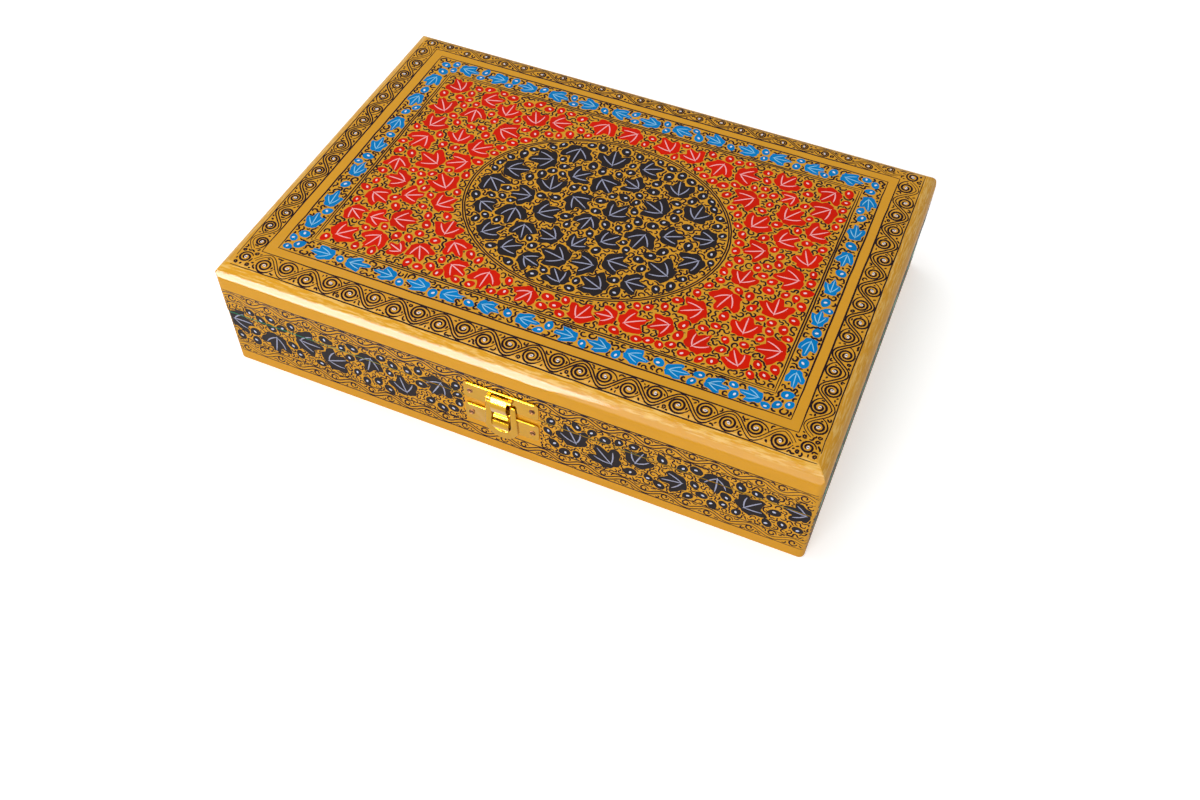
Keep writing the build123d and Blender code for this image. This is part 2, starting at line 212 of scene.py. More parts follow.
def blended(tree, share, first, second):
    """Mix of two colours."""
    values = {MIX_SHARE: share, MIX_COLOURS[0]: first, MIX_COLOURS[1]: second}
    return node(tree, "ShaderNodeMix", values, data_type="RGBA")[MIXED_COLOUR]


def bumped(tree, height, strength, distance, **under):
    values = {"Height": height, "Strength": strength, "Distance": distance, **under}
    return node(tree, "ShaderNodeBump", values)[0]


def brushed_paint_group():
    """Paint laid on by hand: slow drifts of tone, streaks of the brush and the ridges they leave."""
    if "Brushed paint" in bpy.data.node_groups:
        return bpy.data.node_groups["Brushed paint"]
    group = bpy.data.node_groups.new("Brushed paint", "ShaderNodeTree")
    sockets = {
        "INPUT": (("Colour", COLOUR), ("Drift", FLOAT), ("Patch size", FLOAT), ("Streak size", FLOAT),
                  ("Streaks", VECTOR), ("Gloss", FLOAT)),
        "OUTPUT": (("Colour", COLOUR), ("Roughness", FLOAT), ("Height", FLOAT)),
    }
    for way, labels in sockets.items():
        for label, kind in labels:
            group.interface.new_socket(label, in_out=way, socket_type=kind)
    given = node(group, "NodeGroupInput")
    place = object_place(group)
    patch = noise_at(group, place, given["Patch size"], detail=3.0, roughness=0.6)
    along = stretched(group, place, given["Streaks"])
    streak = noise_at(group, along, given["Streak size"], detail=4.0, roughness=0.65)
    level = maths(group, "ADD", maths(group, "ADD", patch, streak), -1.0)
    swing = maths(group, "MULTIPLY", level, given["Drift"])
    node(group, "NodeGroupOutput", {
        "Colour": shaded(group, given["Colour"], maths(group, "ADD", swing, 1.0)),
        "Roughness": maths(group, "ADD", maths(group, "MULTIPLY", swing, 0.5), given["Gloss"]),
        "Height": streak,
    })
    return group


def brushed(tree, colour, drift, patches, streaks, stretch, gloss):
    """Outputs of the brushed paint group: scales of its patches and streaks, and the streaks' stretch."""
    values = {"Colour": opaque(colour), "Drift": drift, "Patch size": patches,
              "Streak size": streaks, "Streaks": stretch, "Gloss": gloss}
    return node(tree, "ShaderNodeGroup", values, node_tree=brushed_paint_group())


def opaque(colour):
    return (*colour, 1.0)


# ---- Materials -----------------------------------------------------------------------------------
def new_material(name, **uniform):
    """Material with one Principled shader, its uniform values set on the shader itself."""
    material = bpy.data.materials.new(name)
    material.use_nodes = True
    tree = material.node_tree
    tree.nodes.clear()
    shader = tree.nodes.new("ShaderNodeBsdfPrincipled")
    for key, value in uniform.items():
        shader.inputs[key.replace("_", " ")].default_value = value
    node(tree, "ShaderNodeOutputMaterial", {"Surface": shader.outputs[0]})
    return material, tree, shader


def link_looks(tree, shader, **varying):
    """Links what varies over a surface to its shader."""
    for key, value in varying.items():
        tree.links.new(value, shader.inputs[key.replace("_", " ")])


def painted_material(name, colour, drift=0.16, specular=0.045):
    """Body colour brushed on and varnished: leaves, berries, veins and ink."""
    material, tree, shader = new_material(name, Specular_IOR_Level=specular)
    coat = brushed(tree, colour, drift, patches=90.0, streaks=900.0, stretch=(1.0, 0.55, 0.8), gloss=0.34)
    tone = node(tree, "ShaderNodeAttribute", attribute_name="tone")["Fac"]
    dab = shaded(tree, coat["Colour"], ramp(tree, tone, (-1.0, 1.0), (0.93, 1.07)))
    ridges = bumped(tree, coat["Height"], strength=0.25, distance=0.05 * MM)
    link_looks(tree, shader, Base_Color=dab, Roughness=coat["Roughness"], Normal=ridges)
    return material


# Heights below the top of the lid between which the varnish comes to be wrinkled and a painted highlight of
# lighter gold is laid on the crests of its wrinkles.
WRINKLED = (3.9 * MM, 3.3 * MM)
FLAT = (0.5 * MM, 0.05 * MM)
ALONG_EDGE = 0.12  # wrinkles are drawn out along the nearer edge


def gilded_material():
    """Bronze-gold ground under a wrinkled glossy varnish, with a painted highlight of lighter gold on the
    crests along the rim.
    """
    material, tree, shader = new_material(
        "gold_ground", Specular_IOR_Level=0.0, Coat_Weight=0.3, Coat_Roughness=0.02
    )
    gold, bright = paints().gold, opaque(paints().painted_highlight)
    coat = brushed(tree, gold, drift=0.1, patches=28.0, streaks=420.0, stretch=(0.22, 1.0, 1.0), gloss=0.42)
    place = object_place(tree)
    axes = node(tree, "ShaderNodeSeparateXYZ", {0: place})
    beyond = [maths(tree, "ABSOLUTE", axes[axis]) for axis in "XY"]
    at_end = maths(tree, "GREATER_THAN", maths(tree, "SUBTRACT", *beyond), lid_high.x - lid_high.y)
    stretches = (ALONG_EDGE, 1.0, 1.0), (1.0, ALONG_EDGE, 1.0)
    values = {MIX_SHARE: at_end, MIX_VECTORS[0]: stretches[0], MIX_VECTORS[1]: stretches[1]}
    stretch = node(tree, "ShaderNodeMix", values, data_type="VECTOR")[MIXED_VECTOR]
    wrinkles = noise_at(tree, stretched(tree, place, stretch), scale=1300.0, detail=3.0, roughness=0.6)
    upper = ramp(tree, axes["Z"], [lid_high.z - depth for depth in WRINKLED], (0.0, 1.0))
    below_flat = ramp(tree, axes["Z"], [lid_high.z - depth for depth in FLAT], (1.0, 0.0))
    # Painted highlight: the crests of the wrinkles on the bullnose are made lighter gold in the base colour.
    crests = ramp(tree, wrinkles, (0.46, 0.6), (0.0, 0.75))
    painted_highlight = maths(tree, "MULTIPLY", crests, maths(tree, "MULTIPLY", upper, below_flat))
    link_looks(
        tree, shader,
        Base_Color=blended(tree, painted_highlight, coat["Colour"], bright),
        Roughness=coat["Roughness"],
        Normal=bumped(tree, coat["Height"], strength=0.4, distance=0.04 * MM),
        Coat_Normal=bumped(tree, maths(tree, "MULTIPLY", wrinkles, upper), strength=1.0, distance=0.12 * MM),
    )
    return material


def brass_material(name="brass_finish", colour="brass", gloss=0.1, lacquer=0.4):
    """Lacquered metal: fine scratches along the sheet, small dents, and painted shade where it is marked for
    it, on the upper part of the nail heads.
    """
    material, tree, shader = new_material(name, Metallic=1.0, Coat_Weight=lacquer, Coat_Roughness=0.03)
    metal, along_sheet = getattr(paints(), colour), (0.12, 1.0, 1.0)
    coat = brushed(tree, metal, drift=0.12, patches=220.0, streaks=2200.0, stretch=along_sheet, gloss=gloss)
    dents = noise_at(tree, object_place(tree), scale=380.0, detail=2.0)
    dented = bumped(tree, dents, strength=0.5, distance=0.08 * MM)
    scratches = bumped(tree, coat["Height"], strength=0.25, distance=0.02 * MM, Normal=dented)
    # Painted shade on the nail heads, from the mark that dish_heads lays.
    nail_shade_share = node(tree, "ShaderNodeAttribute", attribute_name="nail_shade")["Fac"]
    with_nail_shade = blended(tree, nail_shade_share, coat["Colour"], opaque(paints().nail_shade))
    link_looks(tree, shader, Base_Color=with_nail_shade, Roughness=coat["Roughness"], Normal=scratches)
    return material


def nail_material():
    """Copper-washed nail heads, duller than the plates."""
    return brass_material("nail_copper", "copper", gloss=0.5, lacquer=0.05)


def board_material():
    """Pressed paper pulp, rubbed with a thin wash: flecks and soft lumps."""
    material, tree, shader = new_material("pulp_board", Specular_IOR_Level=0.25)
    board = paints().board
    coat = brushed(tree, board, drift=0.3, patches=60.0, streaks=700.0, stretch=(0.8, 1.0, 1.0), gloss=0.72)
    flecks = node(tree, "ShaderNodeTexVoronoi", {"Vector": object_place(tree), "Scale": 420.0})["Distance"]
    flecked = shaded(tree, coat["Colour"], ramp(tree, flecks, (0.0, 0.6), (0.72, 1.05)))
    lumps = bumped(tree, coat["Height"], strength=0.5, distance=0.2 * MM)
    link_looks(tree, shader, Base_Color=flecked, Roughness=coat["Roughness"], Normal=lumps)
    return material


FIBRE_BEND = 4 * MM
FELT_SHEEN = (0.5, 0.9, 0.7, 1)
LINT_COLOUR = (0.3, 0.55, 0.42, 1)


def felt_material():
    """Thin wool felt: matted fibres that catch the light at a low angle, and a little lint."""
    material, tree, shader = new_material(
        "felt_cloth", Specular_IOR_Level=0.1, Sheen_Weight=0.5, Sheen_Roughness=0.45, Sheen_Tint=FELT_SHEEN
    )
    felt = paints().felt
    coat = brushed(tree, felt, drift=0.4, patches=35.0, streaks=1100.0, stretch=(1.0, 1.0, 1.0), gloss=0.92)
    place = object_place(tree)
    warp = node(tree, "ShaderNodeTexNoise", {"Vector": place, "Scale": 300.0, "Detail": 1.0})["Color"]
    bend = {0: warp, 1: (FIBRE_BEND, FIBRE_BEND, FIBRE_BEND), 2: place}
    bent = node(tree, "ShaderNodeVectorMath", bend, operation="MULTIPLY_ADD")[0]
    waves = {"Vector": bent, "Scale": 420.0, "Distortion": 9.0, "Detail": 2.0, "Detail Scale": 2.0}
    fibres = node(tree, "ShaderNodeTexWave", waves)["Fac"]
    fibred = shaded(tree, coat["Colour"], ramp(tree, fibres, (0.0, 1.0), (0.8, 1.18)))
    lint = node(tree, "ShaderNodeTexVoronoi", {"Vector": place, "Scale": 260.0})["Distance"]
    linted = blended(tree, ramp(tree, lint, (0.03, 0.09), (0.35, 0.0)), fibred, LINT_COLOUR)
    nap = bumped(tree, fibres, strength=0.6, distance=0.15 * MM)
    link_looks(tree, shader, Base_Color=linted, Roughness=coat["Roughness"], Normal=nap)
    return material


def ink_material():
    return painted_material("ink", paints().ink, drift=0.3, specular=0.03)


def colour_material(name):
    return painted_material(f"{name}_paint", getattr(paints(), name))


_materials = {}


def known_material(make, *name):
    """A material that is made the first time it is asked for."""
    key = (make, *name)
    if key not in _materials:
        _materials[key] = make(*name)
    return _materials[key]


# ---- Small shape helpers -------------------------------------------------------------------------
def add_piece(name, mesh, body, material, smooth=False):
    """Links a finished mesh as a piece that rides on a body of the box."""
    piece = bpy.data.objects.new(name, mesh)
    bpy.context.scene.collection.objects.link(piece)
    mesh.materials.clear()
    mesh.materials.append(material)
    mesh.shade_smooth() if smooth else mesh.shade_flat()
    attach(piece, body)
    return piece


def to_mesh(bm, name):
    mesh = bpy.data.meshes.new(name)
    bm.to_mesh(mesh)
    bm.free()
    return mesh


def cut_across(bm, place, across, clear_outer=False):
    """Cuts everything in a bmesh along a plane."""
    everything = bm.verts[:] + bm.edges[:] + bm.faces[:]
    return bmesh.ops.bisect_plane(
        bm, geom=everything, plane_co=place, plane_no=across, clear_outer=clear_outer
    )


def soften_edges(piece, name, width, angle):
    """Rounds the edges of a piece that are sharper than an angle."""
    bevel = piece.modifiers.new(name, "BEVEL")
    bevel.width = width
    bevel.segments = 2
    bevel.limit_method = "ANGLE"
    bevel.angle_limit = math.radians(angle)


def rounding_drop(past, radius):
    """How far a rounded edge has fallen away this far past the end of the flat."""
    past = np.clip(past, 0, radius * 0.999)
    return radius - np.sqrt(radius * radius - past * past)


def move_points(mesh, mover):
    """Changes the points of a mesh, as one array, in place."""
    points = np.zeros(len(mesh.vertices) * 3, np.float32)
    mesh.vertices.foreach_get("co", points)
    mover(points.reshape(-1, 3))
    mesh.vertices.foreach_set("co", points)
    mesh.update()


def around(reach, turn):
    """Points at these distances and turns from the origin."""
    return np.stack([reach * np.cos(turn), reach * np.sin(turn)], axis=1)


def turned(points, angle):
    """Flat points turned about the origin."""
    c, s = math.cos(angle), math.sin(angle)
    return np.asarray(points) @ np.array([[c, s], [-s, c]])


def full_circle(count):
    return np.linspace(0, 2 * math.pi, count, endpoint=False)


# ---- Brush strokes: each is its points, its width and whether it closes --------------------------
STROKE_RELIEF = 0.1  # height of a stroke as a share of its width
STROKE_END = 0.45  # width at the ends of a stroke as a share of the middle
RULED_STEP = 5 * MM
HAND_SWAY = 0.07 * MM  # how far the hand strays from a straight line
OVAL_SWAY = 0.06 * MM
OVAL_POINTS = 150


def stroke_mesh(name, strokes, lift=0.0):
    """Brush strokes on the plane z = 0 as low closed ridges."""
    curve = bpy.data.curves.new(name, "CURVE")
    curve.dimensions = "3D"
    curve.twist_mode = "Z_UP"
    curve.bevel_depth = 0.5
    curve.bevel_resolution = 0
    curve.use_fill_caps = True
    for points, width, closed in strokes:
        spline = curve.splines.new("POLY")
        spline.points.add(len(points) - 1)
        spline.use_cyclic_u = closed
        placed = np.zeros((len(points), 4))
        placed[:, :2] = points
        placed[:, 3] = 1
        along = np.linspace(-1, 1, len(points))
        taper = 1 if closed else 1 - (1 - STROKE_END) * along ** 4
        spline.points.foreach_set("co", placed.ravel())
        spline.points.foreach_set("radius", width * taper * np.ones(len(points)))
    drawn = bpy.data.objects.new(name, curve)
    mesh = bpy.data.meshes.new_from_object(drawn)
    bpy.data.objects.remove(drawn)
    bpy.data.curves.remove(curve)
    mesh.transform(Matrix.Translation((0, 0, lift)) @ Matrix.Diagonal((1, 1, 2 * STROKE_RELIEF, 1)))
    return mesh


def ruled_line(start, end, width, rng):
    """Line ruled by hand: nearly straight."""
    start, end = np.array(start), np.array(end)
    count = max(2, int(np.linalg.norm(end - start) / RULED_STEP))
    points = start + np.linspace(0, 1, count)[:, None] * (end - start)
    points += rng.normal(0, HAND_SWAY, points.shape)
    return (points, width, False)


def sides_of(low, high):
    """The four sides of a rectangle, each from one corner to the next: front, right, back and left."""
    ring = [(low[0], low[1]), (high[0], low[1]), (high[0], high[1]), (low[0], high[1])]
    return list(zip(ring, ring[1:] + ring[:1]))


def ruled_frame(low, high, width, rng):
    return [ruled_line(start, end, width, rng) for start, end in sides_of(low, high)]


def ruled_oval(centre, half, width, rng):
    turn = full_circle(OVAL_POINTS)
    points = np.array(centre) + np.stack([half[0] * np.cos(turn), half[1] * np.sin(turn)], axis=1)
    return (points + rng.normal(0, OVAL_SWAY, points.shape), width, True)


# ---- Bare ground ---------------------------------------------------------------------------------
GROUND_CELL = 0.2 * MM
LINE_STEP = 0.4 * MM  # a long stroke covers the ground in steps of this length
LINE_REACH = 1.5 * MM  # how far round a stroke the room is kept up to date


class Ground:
    """Part of a gilded face in fine cells. room is how far each cell is from the nearest paint."""

    def __init__(self, low, high, distance_inside, strokes=()):
        self.low = np.array(low, float)
        counts = np.ceil((np.array(high) - self.low) / GROUND_CELL).astype(int)
        across, along = (self.low[k] + (np.arange(counts[k]) + 0.5) * GROUND_CELL for k in (0, 1))
        self.x, self.y = np.meshgrid(across, along)
        self.room = distance_inside(self.x, self.y)
        for stroke in strokes:
            self.cover_line(stroke)

    def window(self, points, reach):
        """The cells within reach of some points, as a pair of slices."""
        first = np.floor((points.min(axis=0) - reach - self.low) / GROUND_CELL).astype(int)
        last = np.ceil((points.max(axis=0) + reach - self.low) / GROUND_CELL).astype(int) + 1
        first, last = np.clip(first, 0, None), np.clip(last, 0, None)
        return slice(first[1], last[1]), slice(first[0], last[0])

    def cover(self, points, radius, reach):
        """Paint of this radius round each point."""
        view = self.window(points, reach + radius)
        x, y = self.x[view], self.y[view]
        if x.size == 0:
            return
        away = np.hypot(x[..., None] - points[:, 0], y[..., None] - points[:, 1]).min(axis=-1) - radius
        self.room[view] = np.minimum(self.room[view], away)

    def cover_line(self, stroke):
        """Paint of a long stroke, taken piece by piece."""
        points, width, closed = stroke
        ends = np.roll(points, -1, axis=0) if closed else points[1:]
        for start, end in zip(points, ends):
            count = max(2, int(np.linalg.norm(end - start) / LINE_STEP) + 1)
            self.cover(start + np.linspace(0, 1, count)[:, None] * (end - start), width / 2, LINE_REACH)

    def room_here(self, point):
        """Room at one point; none outside the ground."""
        column = int((point[0] - self.low[0]) / GROUND_CELL)
        row = int((point[1] - self.low[1]) / GROUND_CELL)
        if 0 <= row < self.room.shape[0] and 0 <= column < self.room.shape[1]:
            return self.room[row, column]
        return -1.0

    def room_at(self, points):
        """Least room at any of these points; none outside the ground."""
        cells = ((points - self.low) / GROUND_CELL).astype(int)
        if cells.min() < 0 or cells[:, 0].max() >= self.x.shape[1] or cells[:, 1].max() >= self.x.shape[0]:
            return -1.0
        return self.room[cells[:, 1], cells[:, 0]].min()

    def places(self, room):
        """Middles of the cells with at least this much room."""
        chosen = self.room > room
        return np.stack([self.x[chosen], self.y[chosen]], axis=1)

    def tries(self, room, density, rng):
        """Random places that have room when drawn up: so many for each square millimetre that has it."""
        places = self.places(room)
        count = int(len(places) * (GROUND_CELL / MM) ** 2 * density)
        return places[rng.integers(len(places), size=count)] if len(places) else ()


def inside_frame(low, high):
    """Distance function of a rectangle, positive inside it."""
    return lambda x, y: np.minimum.reduce([x - low[0], high[0] - x, y - low[1], high[1] - y])


def inside_oval(centre, half):
    """Distance function of an oval, near enough for brush work."""
    def distance(x, y):
        u, v = (x - centre[0]) / half[0], (y - centre[1]) / half[1]
        share = np.maximum(np.hypot(u, v), 1e-6)
        slope = np.hypot(u / half[0], v / half[1]) / share
        return (1 - share) / np.maximum(slope, 1e-6)
    return distance


def inside_but(outer, *holes):
    """Distance function of what is inside one outline and outside the others."""
    return lambda x, y: np.minimum.reduce([outer(x, y), *(-hole(x, y) for hole in holes)])


# ---- Leaves and berries --------------------------------------------------------------------------
# Half of a chinar leaf about its vein node: degrees from the tip, and reach as a share of its length.
LEAF_EDGE = (
    (0, 1.03), (6, 1.01), (13, 0.9), (21, 0.74), (29, 0.7), (38, 0.82), (47, 0.95), (57, 0.95), (67, 0.8),
    (77, 0.58), (90, 0.53), (103, 0.52), (117, 0.38), (134, 0.3), (154, 0.24), (180, 0.18),
)
LEAF_TURNS = np.radians([turn for turn, reach in LEAF_EDGE])
LEAF_REACHES = np.array([reach for turn, reach in LEAF_EDGE])
LEAF_MIDDLE = 0.4  # from its vein node to the middle of its outline, as a share of its length
LEAF_SPAN = 1.6  # a leaf and its shadow on the ground, as a share of its length
MIDDLE_VEIN = (-0.06, 0.98)  # where it starts, and its length
SIDE_VEIN_TURN = math.radians(50)
SIDE_VEIN_REACH = 0.74


class Leaf:
    """A painted leaf: its vein node, heading, length and how far it is squeezed across."""

    def __init__(self, place, heading, length, squeeze, rng):
        self.place = np.array(place, float)
        self.heading = heading
        self.length = length
        self.squeeze = squeeze
        self.tone = rng.uniform(-1, 1)
        self.turns = np.concatenate([LEAF_TURNS, 2 * math.pi - LEAF_TURNS[-2:0:-1]])
        reaches = np.concatenate([LEAF_REACHES, LEAF_REACHES[-2:0:-1]])
        self.reaches = reaches * rng.uniform(0.9, 1.1, len(reaches))
        self.bends = rng.uniform(0.08, 0.2, 2)
        self.lean = rng.uniform(-0.1, 0.1)

    def to_face(self, points):
        """Points in the leaf's own frame, tip along x, put in place on the face."""
        return self.place + turned(points * (self.length, self.length * self.squeeze), self.heading)

    def outline(self):
        return self.to_face(around(self.reaches, self.turns))

    def distance(self, x, y):
        """How far each point is outside the leaf; negative inside."""
        c, s = math.cos(self.heading), math.sin(self.heading)
        dx, dy = x - self.place[0], y - self.place[1]
        u, v = (dx * c + dy * s), (dy * c - dx * s) / self.squeeze
        turn = np.arctan2(v, u) % (2 * math.pi)
        edge = np.interp(turn, np.append(self.turns, 2 * math.pi), np.append(self.reaches, self.reaches[0]))
        nearest = np.full(x.shape, np.inf)
        outline = self.outline()
        for start, end in zip(outline, np.roll(outline, -1, axis=0)):
            run = end - start
            share = np.clip(((x - start[0]) * run[0] + (y - start[1]) * run[1]) / (run @ run), 0, 1)
            away = np.hypot(x - start[0] - share * run[0], y - start[1] - share * run[1])
            nearest = np.minimum(nearest, away)
        return np.where(np.hypot(u, v) < edge * self.length, -nearest, nearest)

    def veins(self):
        """Middle vein and two bowed side veins, all from the node."""
        along = np.linspace(0, 1, 5)
        start, run = MIDDLE_VEIN
        veins = [np.stack([start + run * along, self.lean * along * (1 - along)], axis=1)]
        for side, bend in zip((1, -1), self.bends):
            veins.append(around(SIDE_VEIN_REACH * along, side * (SIDE_VEIN_TURN + bend * 2 * (0.5 - along))))
        return [self.to_face(vein) for vein in veins]


BERRY_POINTS = 13
BERRY_BODY = 0.93  # radius of the round part as a share of the whole
BERRY_TIP = 9  # how fine the point is
BERRY_OVAL = 0.1  # how far the dab is drawn out


class Berry:
    """A painted berry: a round dab drawn out to a point, with an off-centre light dot."""

    def __init__(self, place, radius, rng):
        self.place = np.array(place, float)
        self.radius = radius
        self.heading = rng.uniform(0, 2 * math.pi)
        self.tone = rng.uniform(-1, 1)
        self.point = rng.uniform(0.05, 0.4)
        self.light_turn = rng.uniform(0, math.pi)
        self.light_shift = rng.uniform(-0.16, 0.16, 2) * radius

    def outline(self):
        turn = full_circle(BERRY_POINTS)
        reach = self.radius * (BERRY_BODY + self.point * np.exp(-BERRY_TIP * (1 - np.cos(turn))))
        reach *= 1 + BERRY_OVAL * np.cos(2 * turn)
        return self.place + around(reach, turn + self.heading)


SPREAD_ROUNDS = 14
SPREAD_CELLS = 7000  # cells that stand for the whole ground while places are spread
SPREAD_PULL = 0.7  # share of the way that a place is drawn in each round


def spread_places(ground, count, room, rng):
    """Places spread over the ground: at random first, then each drawn towards the middle of its share."""
    cells = ground.places(room)
    cells = cells[rng.permutation(len(cells))[:SPREAD_CELLS]]
    places = cells[rng.permutation(len(cells))[:count]].copy()
    for _ in range(SPREAD_ROUNDS):
        nearest = np.hypot(cells[:, None, 0] - places[:, 0], cells[:, None, 1] - places[:, 1]).argmin(axis=1)
        for k in range(count):
            share = cells[nearest == k]
            if len(share):
                places[k] += SPREAD_PULL * (share.mean(axis=0) - places[k])
    return places


SMALLER = 0.985  # a leaf that doesn't fit is tried again this much smaller


def add_leaf(ground, leaves, middle, headings, size, squeeze, rng, gap):
    """Draws a leaf about its middle, turned the first way that keeps it off its neighbours."""
    for heading in headings:
        step = LEAF_MIDDLE * size
        node_place = (middle[0] - step * math.cos(heading), middle[1] - step * math.sin(heading))
        leaf = Leaf(node_place, heading, size, squeeze, rng)
        if ground.room_at(leaf.outline()) > gap:
            break
        size *= SMALLER
    else:
        return
    leaves.append(leaf)
    view = ground.window(np.array([middle]), LEAF_SPAN * size)
    ground.room[view] = np.minimum(ground.room[view], leaf.distance(ground.x[view], ground.y[view]))


LEAST_BERRY = 0.78  # a gap too narrow for a berry of this share of the full size gets none
WIDE_GAPS = 0.93  # a berry goes in any gap of at least this share of the widest one
BERRY_REACH = 12 * MM


def add_berries(ground, berries, count, gap, rng, share=1.0):
    """Berries in the widest gaps that are left, until they are used up or no gap is wide enough."""
    radius = sizes().berry_radius * share
    for _ in range(count):
        widest, least = ground.room.max(), LEAST_BERRY * radius + gap
        if widest < least:
            return
        choice = ground.places(max(WIDE_GAPS * widest, least))
        place = choice[rng.integers(len(choice))]
        size = min(radius * rng.uniform(0.86, 1.14), ground.room_at(place[None]) - gap)
        berries.append(Berry(place, size, rng))
        ground.cover(place[None], size, BERRY_REACH)


# ---- Filling strokes -----------------------------------------------------------------------------
CURL_SHRINK = 0.78
HOOK_SWING, HOOK_TURN, HOOK_HASTE = 0.28, 2.6, 1.5  # how far, how often and how late a hook turns


def curl(reach, turns, rng):
    """Small spiral with a tail."""
    t = np.linspace(0, 1, max(7, int(turns * 8)))
    return around(reach * (1 - CURL_SHRINK * t), 2 * math.pi * turns * t * rng.choice((-1, 1)))


def hook(reach, rng):
    """Stroke that turns back at one end."""
    t = np.linspace(0, 1, 6)
    side = rng.choice((-1, 1)) * HOOK_SWING * reach
    return np.stack([reach * (t - 0.5), side * np.sin(HOOK_TURN * math.pi * t ** HOOK_HASTE)], axis=1)


def comma(reach, rng):
    """Short bowed dab."""
    t = np.linspace(-0.5, 0.5, 4)
    return np.stack([reach * t, reach * rng.uniform(-0.5, 0.5) * (0.25 - t * t)], axis=1)


STROKE_STEP = 0.36 * MM
STROKE_CLEARANCE = 0.16 * MM  # strokes keep this much further from each other than from leaves
COIL_CLEARANCE = 0.28 * MM  # gold left between the coils of one stroke
PEN_LAG = 5  # points just drawn that a stroke may come close to
CURL_REACHES = (0, 4 * MM, 7 * MM)  # how long a stroke curls before it swings
CURL_RADIUS = 0.55 * MM  # a stroke that starts with a curl starts this tight
CURL_OPENING = 0.2  # and opens by this share of the way it has gone
WAVE_RADIUS = 0.82 * MM
DODGES = (-0.5, -1.1, 0.5)  # other turns tried when the way is shut
# Each pass: the longest stroke, the shortest one kept, and how many tries for each square millimetre.
LONG_PASSES = ((15 * MM, 4.2 * MM, 3.0), (7 * MM, 2.2 * MM, 5.0), (3 * MM, 1.0 * MM, 8.0))
SHORT_PASSES = ((6 * MM, 2.2 * MM, 4.0), (3 * MM, 1.0 * MM, 8.0))


def grow_stroke(ground, start, width, need, reach, rng):
    """Stroke that curls, then swings from side to side over bare ground until it is shut in."""
    heading = rng.uniform(0, 2 * math.pi)
    side = rng.choice((-1, 1))
    curl_reach = rng.choice(CURL_REACHES)
    swung, swing = 0, rng.uniform(1.2, 2.8)
    points = [start]
    while len(points) * STROKE_STEP < reach:
        gone = len(points) * STROKE_STEP
        curling = gone < curl_reach
        bend = STROKE_STEP / (CURL_RADIUS + CURL_OPENING * gone if curling else WAVE_RADIUS)
        if swung > swing and not curling:
            side, swung, swing = -side, 0, rng.uniform(1.8, 3.4)
        trail = np.array(points[:-PEN_LAG]).reshape(-1, 2)
        turns = [side * bend] + [side * (bend + dodge) for dodge in DODGES] + [-side * bend, -side * 2 * bend]
        for turn in turns:
            ahead = points[-1] + STROKE_STEP * np.array((math.cos(heading + turn), math.sin(heading + turn)))
            away = np.hypot(trail[:, 0] - ahead[0], trail[:, 1] - ahead[1])
            if ground.room_here(ahead) >= need and away.min(initial=1) > width + COIL_CLEARANCE:
                break
        else:
            break
        if turn * side < 0:
            side, swung = -side, 0
        heading += turn
        swung += abs(turn)
        points.append(ahead)
    return np.array(points)


def grow_strokes(ground, strokes, width, gap, rng, passes=LONG_PASSES):
    """Covers the bare ground with growing strokes, the longest first."""
    need = width / 2 + gap
    for reach, least, density in passes:
        for place in ground.tries(need, density, rng):
            if ground.room_here(place) < need:
                continue
            points = grow_stroke(ground, place, width, need, reach * rng.uniform(0.7, 1), rng)
            if (len(points) - 1) * STROKE_STEP >= least:
                strokes.append((points, width * rng.uniform(0.88, 1.12), False))
                ground.cover(points, width / 2 + STROKE_CLEARANCE, need)


# Each pass: how many tries for each square millimetre, its share of the stroke's width, and what it draws.
BORDER_PASSES = (
    (0.6, 0.95, lambda rng: curl(rng.uniform(0.8, 1.05) * MM, 1.2, rng)),
    (3.5, 1.7, lambda rng: comma(rng.uniform(0.5, 0.9) * MM, rng)),
)
DAB_PASSES = (
    (5.0, 0.9, lambda rng: hook(rng.uniform(1.0, 1.6) * MM, rng)),
    (5.0, 0.9, lambda rng: comma(rng.uniform(0.9, 1.4) * MM, rng)),
)


def fill_ground(ground, strokes, passes, width, gap, rng):
    """Tries strokes at random places and keeps the ones that stay clear of all paint."""
    for density, share, draw in passes:
        half = share * width / 2
        for place in ground.tries(half + gap, density, rng):
            if ground.room_here(place) < half + gap:
                continue
            angle = rng.uniform(0, 2 * math.pi)
            points = place + turned(draw(rng), angle)
            if ground.room_at(points) >= half + gap:
                strokes.append((points, 2 * half * rng.uniform(0.88, 1.12), False))
                ground.cover(points, half, LINE_REACH)


# ---- Running scroll ------------------------------------------------------------------------------
COIL_POINTS = 17  # points in one turn of a spiral
COIL_SHRINK = 0.76  # share of its reach that a spiral winds in by
BAY_POINTS = 9
VINE_SWAY = 0.04 * MM
VINE_EDGE = 0.55 * MM  # from the vine's crests to the edge of its band
SPIRAL_REACH = 0.4  # of the width of its band, less its edge
SPIRAL_EDGE = 0.7 * MM
SPIRAL_SHIFT = 0.1  # from the middle of its band, as a share of the band's width
SPIRAL_SWAY = 0.18 * MM


def spiral_stroke(centre, reach, turns, heading):
    """Spiral that winds in from its reach."""
    sweep = np.linspace(0, 1, int(COIL_POINTS * turns))
    return centre + around(reach * (1 - COIL_SHRINK * sweep), heading + 2 * math.pi * turns * sweep)


